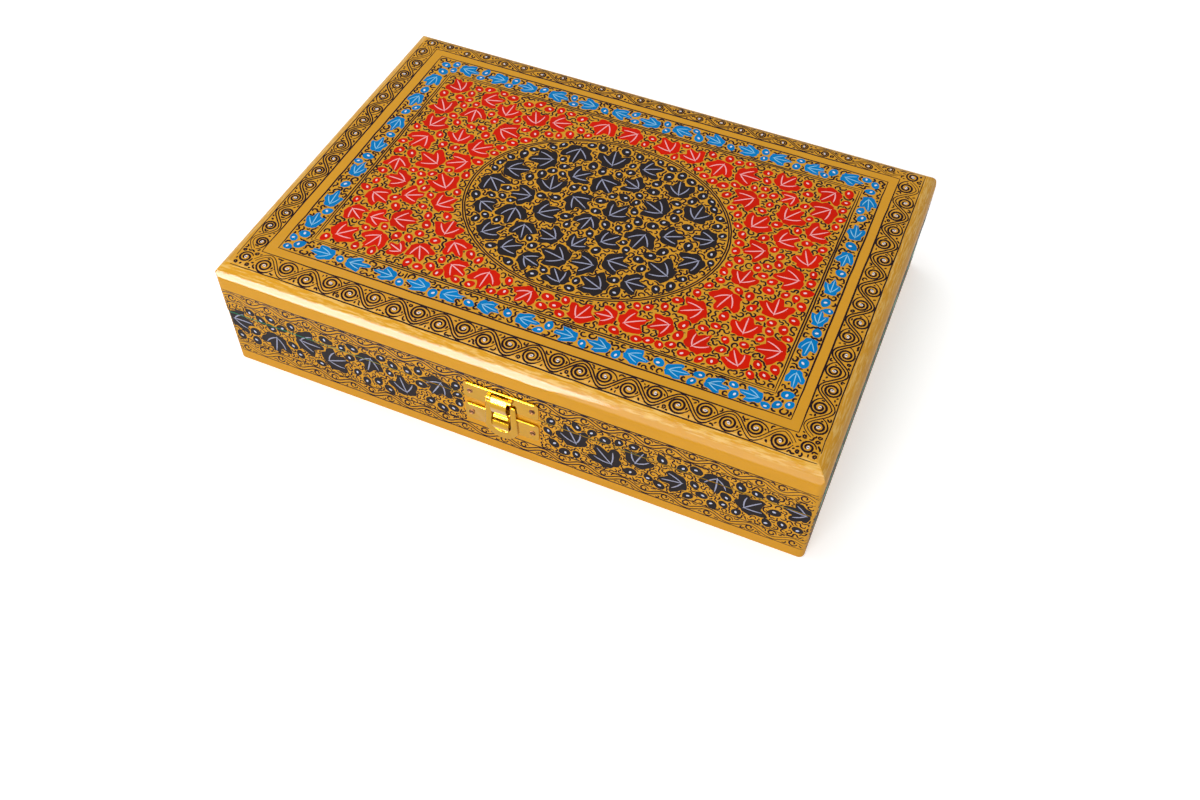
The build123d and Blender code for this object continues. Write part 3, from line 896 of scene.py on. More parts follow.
def scroll_band(
    start, end, width, pitch, rng, spiral_turns, spiral_width, vine_width, vine_gap, branched=True
):
    """Waving double vine from start to end with a spiral in each bay. Returns strokes and the spiral ends."""
    start, end = np.array(start, float), np.array(end, float)
    run = np.linalg.norm(end - start)
    along = (end - start) / run
    across = np.array([-along[1], along[0]])
    bays = max(1, round(run / pitch))
    pitch = run / bays

    def placed(s, t):
        return start + np.outer(s, along) + np.outer(t, across)

    swing = width / 2 - vine_gap / 2 - VINE_EDGE
    s = np.linspace(0, run, bays * BAY_POINTS + 1)
    phase = math.pi * (s - pitch / 2) / pitch
    turn = np.arctan(-swing * math.pi / pitch * np.sin(phase))
    strokes = []
    for offset in (-vine_gap / 2, vine_gap / 2):
        line = placed(s - offset * np.sin(turn), swing * np.cos(phase) + offset * np.cos(turn))
        strokes.append((line + rng.normal(0, VINE_SWAY, line.shape), vine_width, False))
    centres = []
    sweep = np.linspace(0, 2 * math.pi * spiral_turns, int(COIL_POINTS * spiral_turns))
    quarter = math.pi / 2
    outer = SPIRAL_REACH * width - SPIRAL_EDGE
    reach = outer * (1 - COIL_SHRINK * np.clip((sweep - quarter) / (sweep[-1] - quarter), 0, 1))
    if branched:
        reach = reach + (pitch / 2 - outer) * np.clip(1 - sweep / quarter, 0, 1) ** 2
    for k in range(bays):
        side = 1 if k % 2 == 0 else -1
        centre = np.array([(k + 0.5) * pitch, -side * SPIRAL_SHIFT * width]) + rng.normal(0, SPIRAL_SWAY, 2)
        spiral = placed(*(centre + around(reach, -side * sweep)).T)
        strokes.append((spiral, spiral_width * rng.uniform(0.95, 1.1), False))
        centres.append(placed(centre[:1], centre[1:])[0])
    return strokes, centres


# ---- Painted pieces ------------------------------------------------------------------------------
def raised(name, slabs):
    """Closed low slabs as one mesh. Each is its outline, its bottom, its top and its shade."""
    bm = bmesh.new()
    shade = bm.verts.layers.float.new("tone")
    for outline, bottom, top, tone in slabs:
        before = len(bm.verts)
        face = bm.faces.new([bm.verts.new((x, y, bottom)) for x, y in outline])
        risen = bmesh.ops.extrude_face_region(bm, geom=[face], use_keep_orig=True)
        upper = [v for v in risen["geom"] if isinstance(v, bmesh.types.BMVert)]
        bmesh.ops.translate(bm, verts=upper, vec=(0, 0, top - bottom))
        face.normal_flip()
        bm.verts.ensure_lookup_table()
        for vert in bm.verts[before:]:
            vert[shade] = tone
    bmesh.ops.recalc_face_normals(bm, faces=bm.faces)
    return to_mesh(bm, name)


LIGHT_POINTS = 8
LIGHT_SQUEEZE = 0.62
LIGHT_SHARE = 0.36  # largest light on a berry, as a share of its radius
LIGHT_PROUD = 0.6  # of the depth of a coat
BERRY_PROUD = 1.2


def light_mesh(name, lights, lift):
    """Light dots: (place, half length, turn) each."""
    depth = sizes().paint_depth
    turn = full_circle(LIGHT_POINTS)
    slabs = []
    for place, half, heading in lights:
        dab = np.stack([half * np.cos(turn), LIGHT_SQUEEZE * half * np.sin(turn)], axis=1)
        slabs.append((place + turned(dab, heading), lift - depth / 2, lift + LIGHT_PROUD * depth, 0.0))
    return raised(name, slabs)


class Picture:
    """What is painted on one face, before it is laid on the box."""

    def __init__(self, seed_shift):
        self.rng = np.random.default_rng(sizes().seed * 100 + seed_shift)
        self.leaves = []
        self.berries = []
        self.ink = []
        self.lights = []
        self.vein_width = sizes().vein_width

    def meshes(self):
        """The layers as flat meshes: ink, motifs, veins and lights."""
        depth, dot = sizes().paint_depth, sizes().dot_radius
        made = {"ink": stroke_mesh("ink", self.ink)}
        if self.leaves or self.berries:
            slabs = [(leaf.outline(), -depth, depth, leaf.tone) for leaf in self.leaves]
            slabs += [(berry.outline(), -depth, BERRY_PROUD * depth, berry.tone) for berry in self.berries]
            made["motifs"] = raised("motifs", slabs)
        if self.leaves:
            veins = [(vein, self.vein_width, False) for leaf in self.leaves for vein in leaf.veins()]
            made["veins"] = stroke_mesh("veins", veins, depth)
        if self.berries:
            lights = [
                (berry.place + berry.light_shift, min(dot, LIGHT_SHARE * berry.radius), berry.light_turn)
                for berry in self.berries
            ]
            made["berry_lights"] = light_mesh("berry_lights", lights, depth)
        if self.lights:
            made["scroll_lights"] = light_mesh("scroll_lights", self.lights, LIGHT_PROUD * depth)
        return made


def layer_material(layer, body_colour, vein_colour, light_colour):
    """Paint of one layer of a picture."""
    if layer == "ink":
        return known_material(ink_material)
    colour = {"motifs": body_colour, "veins": vein_colour}.get(layer, light_colour)
    return known_material(colour_material, colour)


# ---- Lid -----------------------------------------------------------------------------------------
FULL_SCROLL = 9 * MM  # a narrower border has finer strokes
SPIRAL_TURNS, WAVE_TURNS = 2.05, 1.2  # in the border and in the sides' narrow waves
VINE_WIDTH = 0.72 * MM
VINE_GAP, WAVE_GAP = 1.15 * MM, 1.5 * MM
DAB_GAP = 0.1 * MM
BORDER_GAPS = (0.16 * MM, 0.06 * MM)  # gold left bare round the border's first dabs, then round its strokes
# Widths of strokes as shares of the ink stroke's, and of lines as shares of the ruled line's.
BORDER_STROKES, DABS = 0.95, 0.9
BAND_STROKES, BAND_DABS = 1.08, 1.05
OUTER_LINE, BAND_LINE, OVAL_LINE = 0.7, 0.88, 0.85
CORNER_SPIRAL = (3.0 * MM, 1.7)  # its reach and turns
LIGHT_HALF = 0.85 * MM
BLOT_HALF = 0.4 * MM  # the ink blot under the light at a spiral's end
BLOT_WIDTH = 2.1 * MM


def drape_on_lid(mesh):
    """Lifts a flat layer on to the lid and lets it follow the bullnose."""
    radius = sizes().edge_radius

    def drape(points):
        fall = [
            rounding_drop(np.abs(points[:, axis]) - (lid_high[axis] - radius), radius) for axis in (0, 1)
        ]
        points[:, 2] += lid_high.z - np.maximum(*fall)
    move_points(mesh, drape)


def hang_lid_picture(picture, name, body_colour=None, vein_colour=None, light_colour="white"):
    """Makes the pieces of a picture on top of the lid."""
    for layer, mesh in picture.meshes().items():
        mesh.name = f"{name}_{layer}"
        drape_on_lid(mesh)
        finish = layer_material(layer, body_colour, vein_colour, light_colour)
        add_piece(mesh.name, mesh, "lid", finish)


def corners(frame_edges):
    """Low and high corner of a painted rectangle."""
    left, right, front, back = frame_edges
    return np.array((-left, -front)), np.array((right, back))


def ground_between(outer, inner, strokes):
    """Ground between two painted rectangles, less what strokes cover."""
    return Ground(*outer, inside_but(inside_frame(*outer), inside_frame(*inner)), strokes)


def end_spiral(picture, centre, fine=1.0):
    """Light on a blot of ink at the end of a spiral."""
    blot = centre + np.array(((-BLOT_HALF, 0), (BLOT_HALF, 0))) * fine
    picture.lights.append((centre, LIGHT_HALF * fine, picture.rng.uniform(0, math.pi)))
    picture.ink.append((blot, BLOT_WIDTH * fine, False))


def paint_lid_border():
    """Scroll border with a spiral in every bay and one at every corner."""
    picture = Picture(1)
    rng = picture.rng
    outer_low, outer_high = corners(sizes().outer_frame)
    inner_low, inner_high = corners(sizes().scroll_frame)
    picture.ink += ruled_frame(outer_low, outer_high, OUTER_LINE * sizes().line_width, rng)
    picture.ink += ruled_frame(inner_low, inner_high, sizes().line_width, rng)
    mid_low, mid_high = (outer_low + inner_low) / 2, (outer_high + inner_high) / 2
    (left, front), (right, back) = inner_low - outer_low, outer_high - inner_high
    runs = np.array(sides_of(mid_low, mid_high))
    for side, (run, width) in enumerate(zip(runs, (front, right, back, left))):
        along = side % 2  # a run goes only as far as the inner frame, to leave the corners free
        run[:, along] = np.clip(run[:, along], inner_low[along], inner_high[along])
        fine = min(1, width / FULL_SCROLL)
        strokes, centres = scroll_band(
            *run, width, sizes().scroll_pitch, rng, SPIRAL_TURNS,
            spiral_width=fine * sizes().scroll_width, vine_width=fine * VINE_WIDTH, vine_gap=fine * VINE_GAP,
        )
        picture.ink += strokes
        for centre in centres:
            end_spiral(picture, centre, fine)
    for x in (mid_low[0], mid_high[0]):
        for y in (mid_low[1], mid_high[1]):
            centre = np.array((x, y))
            spiral = spiral_stroke(centre, *CORNER_SPIRAL, rng.uniform(0, 2 * math.pi))
            picture.ink.append((spiral, sizes().scroll_width, False))
            end_spiral(picture, centre)
    ground = ground_between((outer_low, outer_high), (inner_low, inner_high), picture.ink)
    ink = sizes().ink_width
    fill_ground(ground, picture.ink, BORDER_PASSES, ink, BORDER_GAPS[0], rng)
    grow_strokes(ground, picture.ink, BORDER_STROKES * ink, BORDER_GAPS[1], rng, SHORT_PASSES)
    fill_ground(ground, picture.ink, DAB_PASSES, DABS * ink, DAB_GAP, rng)
    hang_lid_picture(picture, "lid_border")


BAND_VEIN = 0.68  # the narrow blue leaves have finer veins
BAND_SQUEEZE = 0.64
BAND_LEAVES = (13, 7, 13, 7)  # in front, right, back and left
BAND_BERRIES = 66
BAND_LEAF_GAP, BAND_BERRY_GAP = 0.05 * MM, 0.45 * MM
BAND_SWAY = 0.25 * MM
DOUBLE_LINE = 1.0 * MM  # one ruled line to its twin


def paint_blue_band():
    """Blue leaves that follow each other round the lid, with berries between."""
    picture = Picture(2)
    picture.vein_width *= BAND_VEIN
    rng = picture.rng
    outer_low, outer_high = corners(sizes().band_frame)
    inner_low, inner_high = corners(sizes().field_frame)
    picture.ink += ruled_frame(outer_low, outer_high, sizes().line_width, rng)
    for step in (0.0, DOUBLE_LINE):
        picture.ink += ruled_frame(inner_low + step, inner_high - step, BAND_LINE * sizes().line_width, rng)
    ground = ground_between((outer_low, outer_high), (inner_low, inner_high), picture.ink)
    middle_line = sides_of((outer_low + inner_low) / 2, (outer_high + inner_high) / 2)
    for (start, end), count in zip(np.array(middle_line), BAND_LEAVES):
        heading = math.atan2(end[1] - start[1], end[0] - start[0])
        for k in range(count):
            share = (k + 0.8 + rng.uniform(-0.12, 0.12)) / (count + 0.6)
            middle = start + share * (end - start) + rng.normal(0, BAND_SWAY, 2)
            turn = heading + (math.pi if rng.random() < 0.55 else 0) + rng.normal(0, 0.08)
            size = sizes().leaf_length * rng.uniform(0.82, 0.94)
            headings = turn + rng.normal(0, 0.07, 12)
            add_leaf(ground, picture.leaves, middle, headings, size, BAND_SQUEEZE, rng, BAND_LEAF_GAP)
    add_berries(ground, picture.berries, BAND_BERRIES, BAND_BERRY_GAP, rng)
    grow_strokes(ground, picture.ink, BAND_STROKES * sizes().ink_width, sizes().stroke_gap, rng)
    fill_ground(ground, picture.ink, DAB_PASSES, BAND_DABS * sizes().ink_width, DAB_GAP, rng)
    hang_lid_picture(picture, "lid_band", "blue", "sky")


LEAF_SQUEEZE = 0.94
MOTIF_GAP = 0.35 * MM  # gold left bare round a leaf or a berry
LEAF_ROOM = 0.28  # a leaf's middle is at least this share of its length inside the ground
LEAF_TRIES = 20
FIELD_INSET = 1.3 * MM  # the field begins inside the twin line
OVAL_OUTSIDE, OVAL_INSIDE = 0.9 * MM, 0.8 * MM  # from the oval's line to the ground on either side
FIELD_BERRIES = 185
MEDALLION_BERRIES = 98
MEDALLION_SHARE = 1.045  # size of the medallion's leaves and berries against the field's


def scatter_motifs(ground, picture, middles, berry_count, leaf_share=1.0, stroke_share=1.0):
    """Leaves every way round, then berries in the gaps, then strokes in what is left."""
    rng = picture.rng
    for middle in middles:
        size = sizes().leaf_length * leaf_share * rng.uniform(0.9, 1.1)
        headings = rng.uniform(0, 2 * math.pi, LEAF_TRIES)
        add_leaf(ground, picture.leaves, middle, headings, size, LEAF_SQUEEZE, rng, MOTIF_GAP)
    add_berries(ground, picture.berries, berry_count, MOTIF_GAP, rng, leaf_share)
    width, gap = sizes().ink_width * stroke_share, sizes().stroke_gap
    grow_strokes(ground, picture.ink, width, gap, rng)
    fill_ground(ground, picture.ink, DAB_PASSES, DABS * width, gap, rng)


def paint_field():
    """Red leaves and berries round the medallion."""
    picture = Picture(3)
    low, high = corners(sizes().field_frame)
    low, high = low + FIELD_INSET, high - FIELD_INSET
    centre, half = np.array(sizes().medallion_centre), np.array(sizes().medallion)
    around_oval = inside_but(inside_frame(low, high), inside_oval(centre, half + OVAL_OUTSIDE))
    ground = Ground(low, high, around_oval)
    middles = spread_places(ground, sizes().field_leaves, LEAF_ROOM * sizes().leaf_length, picture.rng)
    scatter_motifs(ground, picture, middles, FIELD_BERRIES)
    hang_lid_picture(picture, "lid_field", "red", "rose", "blush")


def paint_medallion():
    """Black leaves and berries in the double-lined oval."""
    picture = Picture(4)
    centre, half = np.array(sizes().medallion_centre), np.array(sizes().medallion)
    ground = Ground(centre - half, centre + half, inside_oval(centre, half - OVAL_INSIDE))
    middles = spread_places(ground, sizes().medallion_leaves, LEAF_ROOM * sizes().leaf_length, picture.rng)
    scatter_motifs(ground, picture, middles, MEDALLION_BERRIES, MEDALLION_SHARE)
    for step in (-DOUBLE_LINE / 2, DOUBLE_LINE / 2):
        picture.ink.append(ruled_oval(centre, half + step, OVAL_LINE * sizes().ink_width, picture.rng))
    hang_lid_picture(picture, "lid_medallion", "black", "lilac", "mist")


# ---- Sides ---------------------------------------------------------------------------------------
SIDE_HEADINGS = {"front": 0, "right": 90, "back": 180, "left": 270}
SEAM_EDGE = 0.05 * MM  # paint stops short of the edge at the seam
CORNER_BEND = 0.4 * MM  # paint that turns an upright corner bends at every such step


def side_reach(name, body):
    """How far a face of the base or the lid stands from the middle, and half its width."""
    high = lid_high if body == "lid" else base_high
    return (high.y, high.x) if name in ("front", "back") else (high.x, high.y)


def cut_at(mesh, height, away):
    """Flat layer cut and closed along a level line. away is 1 to lose the part above it, or -1 below it."""
    bm = bmesh.new()
    bm.from_mesh(mesh)
    cut = cut_across(bm, (0, height, 0), (0, away, 0), clear_outer=True)
    rim = [e for e in cut["geom_cut"] if isinstance(e, bmesh.types.BMEdge) and e.is_boundary]
    bmesh.ops.holes_fill(bm, edges=rim)
    return bm


def lay_on_side(bm, piece_name, name, body):
    """Stands a flat layer up on a face of the box and lets it follow the upright corners."""
    reach, half = side_reach(name, body)
    radius = sizes().corner_radius
    for place in np.arange(half - radius, half, CORNER_BEND):
        for side in (-1, 1):
            cut_across(bm, (side * place, 0, 0), (1, 0, 0))
    mesh = to_mesh(bm, piece_name)

    def bend(points):
        points[:, 2] -= rounding_drop(np.abs(points[:, 0]) - (half - radius), radius)
    move_points(mesh, bend)
    mesh.transform(
        Matrix.Rotation(math.radians(SIDE_HEADINGS[name]), 4, "Z")
        @ Matrix.Translation((0, -reach, 0))
        @ Matrix.Rotation(math.pi / 2, 4, "X")
    )
    return mesh


def hang_side_picture(picture, name, body_colour, vein_colour):
    """Makes the pieces of a side's picture, the base's below the seam and the lid's above."""
    for layer, mesh in picture.meshes().items():
        finish = layer_material(layer, body_colour, vein_colour, "mist")
        for body, height, away in (("base", base_high.z - SEAM_EDGE, 1), ("lid", lid_low.z + SEAM_EDGE, -1)):
            bm = cut_at(mesh, height, away)
            if bm.faces:
                piece_name = f"{body}_{name}_{layer}"
                add_piece(piece_name, lay_on_side(bm, piece_name, name, body), body, finish)
        bpy.data.meshes.remove(mesh)


COVERED = 0.2 * MM  # gold left bare round a fitting


def shadow_on_face(fitting, name):
    """Distance function of the rectangle on a face that a fitting covers."""
    turn = Matrix.Rotation(-math.radians(SIDE_HEADINGS[name]), 4, "Z")
    ends = np.array([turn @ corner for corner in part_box(fitting)])[:, [0, 2]]
    return inside_frame(ends.min(axis=0) - COVERED, ends.max(axis=0) + COVERED)


ROW_SWAY = 3.6 * MM  # leaves stand by turns above and below the middle of their band
LEAF_SWAY = 1.0 * MM
SECOND_BELOW = 1.1 * MM  # the top line has a finer twin this far below
SIDE_LEAF_SHARE = 1.1  # size of the sides' leaves and berries against the field's
SIDE_STROKE_SHARE = 0.82
SIDE_LINE, SECOND_LINE, WAVE_SPIRAL, WAVE_VINE, WAVE_STROKES = 0.85, 0.6, 0.9, 0.85, 0.75  # of a ruled line
WAVE_STROKE_GAP = 0.3 * MM


def paint_side(name, seed_shift, leaf_count, berry_count, body_colour, vein_colour, fittings=()):
    """Three bands on one face: leaves and berries between two narrow waves."""
    picture = Picture(seed_shift)
    rng = picture.rng
    half = side_reach(name, "base")[1] - sizes().side_margin
    line = sizes().line_width
    levels = sizes().side_lines
    rules = [(level, SIDE_LINE * line) for level in levels] + [(levels[3] - SECOND_BELOW, SECOND_LINE * line)]
    picture.ink += [ruled_line((-half, level), (half, level), width, rng) for level, width in rules]
    covered = [shadow_on_face(fitting, name) for fitting in fittings]

    def band_ground(low, high, strokes=()):
        low, high = (-half, low), (half, high)
        return Ground(low, high, inside_but(inside_frame(low, high), *covered), strokes)

    for low, high in (levels[0:2], levels[2:4]):
        middle = (low + high) / 2
        waves, _ = scroll_band(
            (-half, middle), (half, middle), high - low, sizes().wave_pitch, rng, WAVE_TURNS,
            spiral_width=WAVE_SPIRAL * line, vine_width=WAVE_VINE * line, vine_gap=WAVE_GAP, branched=False,
        )
        picture.ink += waves
        ground = band_ground(low, high, waves)
        grow_strokes(ground, picture.ink, WAVE_STROKES * line, WAVE_STROKE_GAP, rng, SHORT_PASSES)
    order = np.arange(leaf_count)
    middles = np.stack([
        half * (2 * (order + 0.5) / leaf_count - 1) + rng.normal(0, LEAF_SWAY, leaf_count),
        (levels[1] + levels[2]) / 2 + ROW_SWAY * (-1) ** order + rng.normal(0, LEAF_SWAY, leaf_count),
    ], axis=1)
    ground = band_ground(levels[1], levels[2])
    scatter_motifs(ground, picture, middles, berry_count, SIDE_LEAF_SHARE, SIDE_STROKE_SHARE)
    hang_side_picture(picture, name, body_colour, vein_colour)


# ---- Felt ----------------------------------------------------------------------------------------
FELT_GRID = 4 * MM
FELT_WAVE = 0.07 * MM  # how far the felt puckers where it is glued
WIDE_PUCKER, FINE_PUCKER = 9 * MM, 3 * MM
FELT_EDGE = 0.16 * MM
FELT_SHARP, FELT_SOFTENED = 40, 50  # degrees from which an edge is shaded sharp, and is rounded
RIM_INSET = 2 * MM  # the rim's edge is drawn out from this far inside the face of the box
RIM_STRETCH = 1.7 * MM  # width of what is drawn out
RIM_PROUD = 0.12 * MM  # how far it stands out past its solid
RIM_PROUD_LEFT = 0.3 * MM  # and how much further at the left end of the front
RIM_FROM, RIM_RUN = -40 * MM, 50 * MM  # where it begins to stand out further, and over what length
JOIN = 0.001 * MM
FLAT_TURN = 0.6  # degrees up to which two triangles of a solid's mesh are one flat


def joined_copy(name):
    """Copy of a CAD node's mesh with its loose triangles merged and its flats in one piece."""
    bm = bmesh.new()
    bm.from_mesh(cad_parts[name].data)
    bmesh.ops.remove_doubles(bm, verts=bm.verts, dist=JOIN)
    bmesh.ops.dissolve_limit(bm, angle_limit=math.radians(FLAT_TURN), verts=bm.verts, edges=bm.edges)
    return bm


def stretch_rim(bm):
    """Draws the edge of a rim out to the face of the box, and a little past it at one end of the front."""
    for vert in bm.verts:
        for axis in (0, 1):
            past = abs(vert.co[axis]) - (base_high[axis] - RIM_INSET)
            if past > 0:
                left = min(1, max(0, (RIM_FROM - vert.co.x) / RIM_RUN))
                proud = RIM_PROUD + RIM_PROUD_LEFT * left * (axis == 1 and vert.co.y < 0)
                vert.co[axis] += math.copysign(proud * past / RIM_STRETCH, vert.co[axis])


def lay_felt(name, body):
    """Felt in place of its plain solid: gridded, puckered a little and soft at its edges."""
    bm = joined_copy(name)
    low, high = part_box(name)
    for axis in range(3):
        run = high[axis] - low[axis]
        cells = int(run / FELT_GRID)
        for k in range(1, cells):
            place, across = Vector(), Vector()
            place[axis] = low[axis] + run * k / cells
            across[axis] = 1
            cut_across(bm, place, across)
    thin = min(range(3), key=lambda axis: high[axis] - low[axis])
    for vert in bm.verts:
        pucker = noise.noise(vert.co / WIDE_PUCKER) + 0.5 * noise.noise(vert.co / FINE_PUCKER)
        vert.co[thin] += FELT_WAVE * pucker
    if body == "base":
        stretch_rim(bm)
    mesh = to_mesh(bm, name + "_cloth")
    piece = add_piece(mesh.name, mesh, body, known_material(felt_material), smooth=True)
    mesh.set_sharp_from_angle(angle=math.radians(FELT_SHARP))
    soften_edges(piece, "soft edge", FELT_EDGE, FELT_SOFTENED)
    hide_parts(name)


# ---- Fittings ------------------------------------------------------------------------------------
BROKEN_EDGE = 0.09 * MM
HASP_EDGE = 0.16 * MM
BRASS_SHARP, BRASS_SOFTENED = 32, 40
CROWN_SLACK = 0.01 * MM
HEAD_REACH = 1.1  # how far round a crown its head may reach, as a share of the crown's own reach
NAIL_SHADE_MIDDLE, NAIL_SHADE_RISE = 0.3, 1.4  # painted shade at the middle of a head, and how much more at its top
NAIL_RIM = 0.2 * MM
NAIL_DISH = 0.28 * MM
HASP_PIN = (1.55 * MM, 6.75 * MM)  # pin axis in front of the face and above the seam
HASP_ROLL = 0.92 * MM  # middle of the sheet round the pin
ROLL_POINTS, BELLY_POINTS = 15, 9
HASP_SHEET = 0.7 * MM
HASP_WIDTH = (7.0 * MM, 6.4 * MM)  # at the pin and at the lip
HASP_STARTS = math.radians(262)  # where the roll starts round the pin
HASP_LEAVES = math.radians(21)  # and where the sheet leaves it
HASP_BEND = (3.76 * MM, 3.6 * MM)
HASP_NOSE = (1.45 * MM, -3.4 * MM)
HASP_BELLY = 17.2 * MM  # radius of the belly
LIP_TURNS = [math.radians(15)] * 5 + [0, 0]  # the lip turns up in these steps
LIP_STEP = 0.24 * MM


def heading_vector(turn):
    return np.array((math.cos(turn), math.sin(turn)))


def arc(middle, radius, first, last, count):
    return [middle + radius * heading_vector(turn) for turn in np.linspace(first, last, count)]


def hasp_line():
    """Middle line of the hasp's sheet from under the pin to the lip: in front of the face, above the seam."""
    start, end = np.array(HASP_BEND), np.array(HASP_NOSE)
    roll = arc(np.array(HASP_PIN), HASP_ROLL, HASP_STARTS, HASP_LEAVES, ROLL_POINTS)
    chord = end - start
    half = np.linalg.norm(chord) / 2
    sink = math.sqrt(HASP_BELLY ** 2 - half ** 2)
    middle = (start + end) / 2 + sink * np.array((chord[1], -chord[0])) / (2 * half)
    first, last = (math.atan2(*(point - middle)[::-1]) for point in (start, end))
    belly = arc(middle, HASP_BELLY, first, last, BELLY_POINTS)
    heading = last - math.pi / 2
    lip = [belly[-1]]
    for turn in LIP_TURNS:
        heading += turn
        lip.append(lip[-1] + LIP_STEP * heading_vector(heading))
    return roll + belly + lip[1:]


def build_hasp():
    """Hasp rolled round its pin from one strip: slanted face, bowed belly and turned-up lip."""
    seam = (base_high.z + lid_low.z) / 2
    line = hasp_line()
    bm = bmesh.new()
    verts = [bm.verts.new((-0.5, -base_high.y - stand, seam + rise)) for stand, rise in line]
    strip = [bm.edges.new(pair) for pair in zip(verts, verts[1:])]
    wide = bmesh.ops.extrude_edge_only(bm, edges=strip)["geom"]
    bmesh.ops.translate(bm, verts=[v for v in wide if isinstance(v, bmesh.types.BMVert)], vec=(1, 0, 0))
    top, foot = seam + line[ROLL_POINTS - 1][1], seam + line[-1][1]
    for vert in bm.verts:
        down = min(1, max(0, (top - vert.co.z) / (top - foot)))
        vert.co.x *= HASP_WIDTH[0] + down * (HASP_WIDTH[1] - HASP_WIDTH[0])
    bmesh.ops.recalc_face_normals(bm, faces=bm.faces)
    bmesh.ops.solidify(bm, geom=bm.faces[:], thickness=HASP_SHEET)
    bmesh.ops.recalc_face_normals(bm, faces=bm.faces)
    finish_piece(bm, "clasp_hasp", "hasp", known_material(brass_material), HASP_EDGE)


def finish_piece(bm, name, body, material, edge=BROKEN_EDGE):
    """Makes a fitting with its edges broken in place of a plain solid."""
    mesh = to_mesh(bm, name + "_finished")
    piece = add_piece(mesh.name, mesh, body, material, smooth=True)
    mesh.set_sharp_from_angle(angle=math.radians(BRASS_SHARP))
    soften_edges(piece, "broken edges", edge, BRASS_SOFTENED)
    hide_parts(name)


def dish_heads(bm):
    """Sinks a dish into the crown of each nail and marks painted shade on its head, none at the bottom and
    most at the top.
    """
    front = max(abs(vert.co.y) for vert in bm.verts) - CROWN_SLACK
    nail_shade = bm.verts.layers.float.new("nail_shade")
    crowns = [face for face in bm.faces if all(abs(vert.co.y) > front for vert in face.verts)]
    for crown in crowns:
        middle = crown.calc_center_median()
        rim = [vert for face in crown.verts[0].link_faces for vert in face.verts]
        reach = max((vert.co - middle).length for vert in rim)
        for vert in bm.verts:
            out = vert.co - middle
            if out.length < HEAD_REACH * reach:
                # Painted shade: darker towards the top of the head.
                vert[nail_shade] = min(1, max(0, NAIL_SHADE_MIDDLE + NAIL_SHADE_RISE * out.z / reach))
    bmesh.ops.inset_individual(bm, faces=crowns, thickness=NAIL_RIM)
    bmesh.ops.inset_individual(bm, faces=crowns, thickness=0.5 * NAIL_RIM, depth=-NAIL_DISH)


def finish_fittings(body, *names):
    """Fittings of a body with their facets joined and their edges broken, in place of the plain ones."""
    for name in names:
        bm = joined_copy(name)
        if name.endswith("nails"):
            dish_heads(bm)
            finish_piece(bm, name, body, known_material(nail_material))
        else:
            finish_piece(bm, name, body, known_material(brass_material))


# ---- Stage ---------------------------------------------------------------------------------------
FILM_WIDTH = 36
WHITE = (1, 1, 1, 1)
FLOOR_GREY = (0.88, 0.88, 0.88, 1)
FLOOR_GLOW = 0.45
# Lamps: name, place, target, width and height, all in metres.
TOP_LAMP = ("top_lamp", (-0.35, 0.1, 1.1), (0, 0, 0.03), 0.9, 0.9)
FRONT_LAMP = ("front_lamp", (-0.1, -1.0, 0.5), (0, -0.08, 0.03), 0.5, 0.4)
CARD = ("card", (-0.138, -0.335, 0.06), (-0.138, -0.221, 0.375), 0.262, 0.35)
DIM_CARD = ("dim_card", (0.13, -0.335, 0.06), (0.13, -0.221, 0.375), 0.27, 0.35)
DIM_SHARE = 0.16


def set_camera(stage):
    """Camera at the viewing angle."""
    data = bpy.data.cameras.new("camera")
    data.sensor_width = FILM_WIDTH
    data.lens = stage.lens
    data.clip_start = 1 * MM
    camera = bpy.data.objects.new("camera", data)
    heading, tilt, roll = stage.camera_turn
    camera.matrix_world = (
        Matrix.Translation(stage.camera_place)
        @ Matrix.Rotation(heading, 4, "Z")
        @ Matrix.Rotation(math.pi / 2 - tilt, 4, "X")
        @ Matrix.Rotation(roll, 4, "Z")
    )
    bpy.context.scene.collection.objects.link(camera)
    bpy.context.scene.camera = camera


def see_white(tree, otherwise, seen):
    """One level for what the camera sees, also by reflection, and another for the light that is given."""
    path = node(tree, "ShaderNodeLightPath")
    first = maths(tree, "MAXIMUM", path["Is Camera Ray"], path["Is Glossy Ray"])
    either = maths(tree, "MAXIMUM", first, path["Is Transmission Ray"])
    return ramp(tree, either, (0.0, 1.0), (otherwise, seen))


def set_world(stage):
    """Even light all round, seen as plain white."""
    world = bpy.data.worlds.new("studio")
    bpy.context.scene.world = world
    world.use_nodes = True
    tree = world.node_tree
    tree.nodes.clear()
    light = node(tree, "ShaderNodeBackground", {
        "Color": WHITE, "Strength": see_white(tree, stage.sky_level, 1.0),
    })
    node(tree, "ShaderNodeOutputWorld", {"Surface": light[0]})


def add_lamp(lamp_power, name, place, target, width, height, gleam_only=False):
    """Soft rectangular lamp that faces its target. One for gleam only is seen in glossy surfaces alone."""
    data = bpy.data.lights.new(name, "AREA")
    data.shape = "RECTANGLE"
    data.size = width
    data.size_y = height
    data.energy = lamp_power
    lamp = bpy.data.objects.new(name, data)
    lamp.location = place
    lamp.rotation_euler = (Vector(target) - Vector(place)).to_track_quat("-Z", "Y").to_euler()
    lamp.visible_camera = False
    lamp.visible_diffuse = not gleam_only
    bpy.context.scene.collection.objects.link(lamp)


def set_floor(stage):
    """Pale floor that keeps the shadow and shows as white."""
    bm = bmesh.new()
    bmesh.ops.create_grid(bm, x_segments=1, y_segments=1, size=stage.floor_size / 2)
    floor = bpy.data.objects.new("floor", to_mesh(bm, "floor"))
    bpy.context.scene.collection.objects.link(floor)
    material, tree, shader = new_material(
        "floor", Base_Color=FLOOR_GREY, Roughness=0.9, Specular_IOR_Level=0.0, Emission_Color=WHITE
    )
    link_looks(tree, shader, Emission_Strength=see_white(tree, 0.0, FLOOR_GLOW))
    floor.data.materials.append(material)


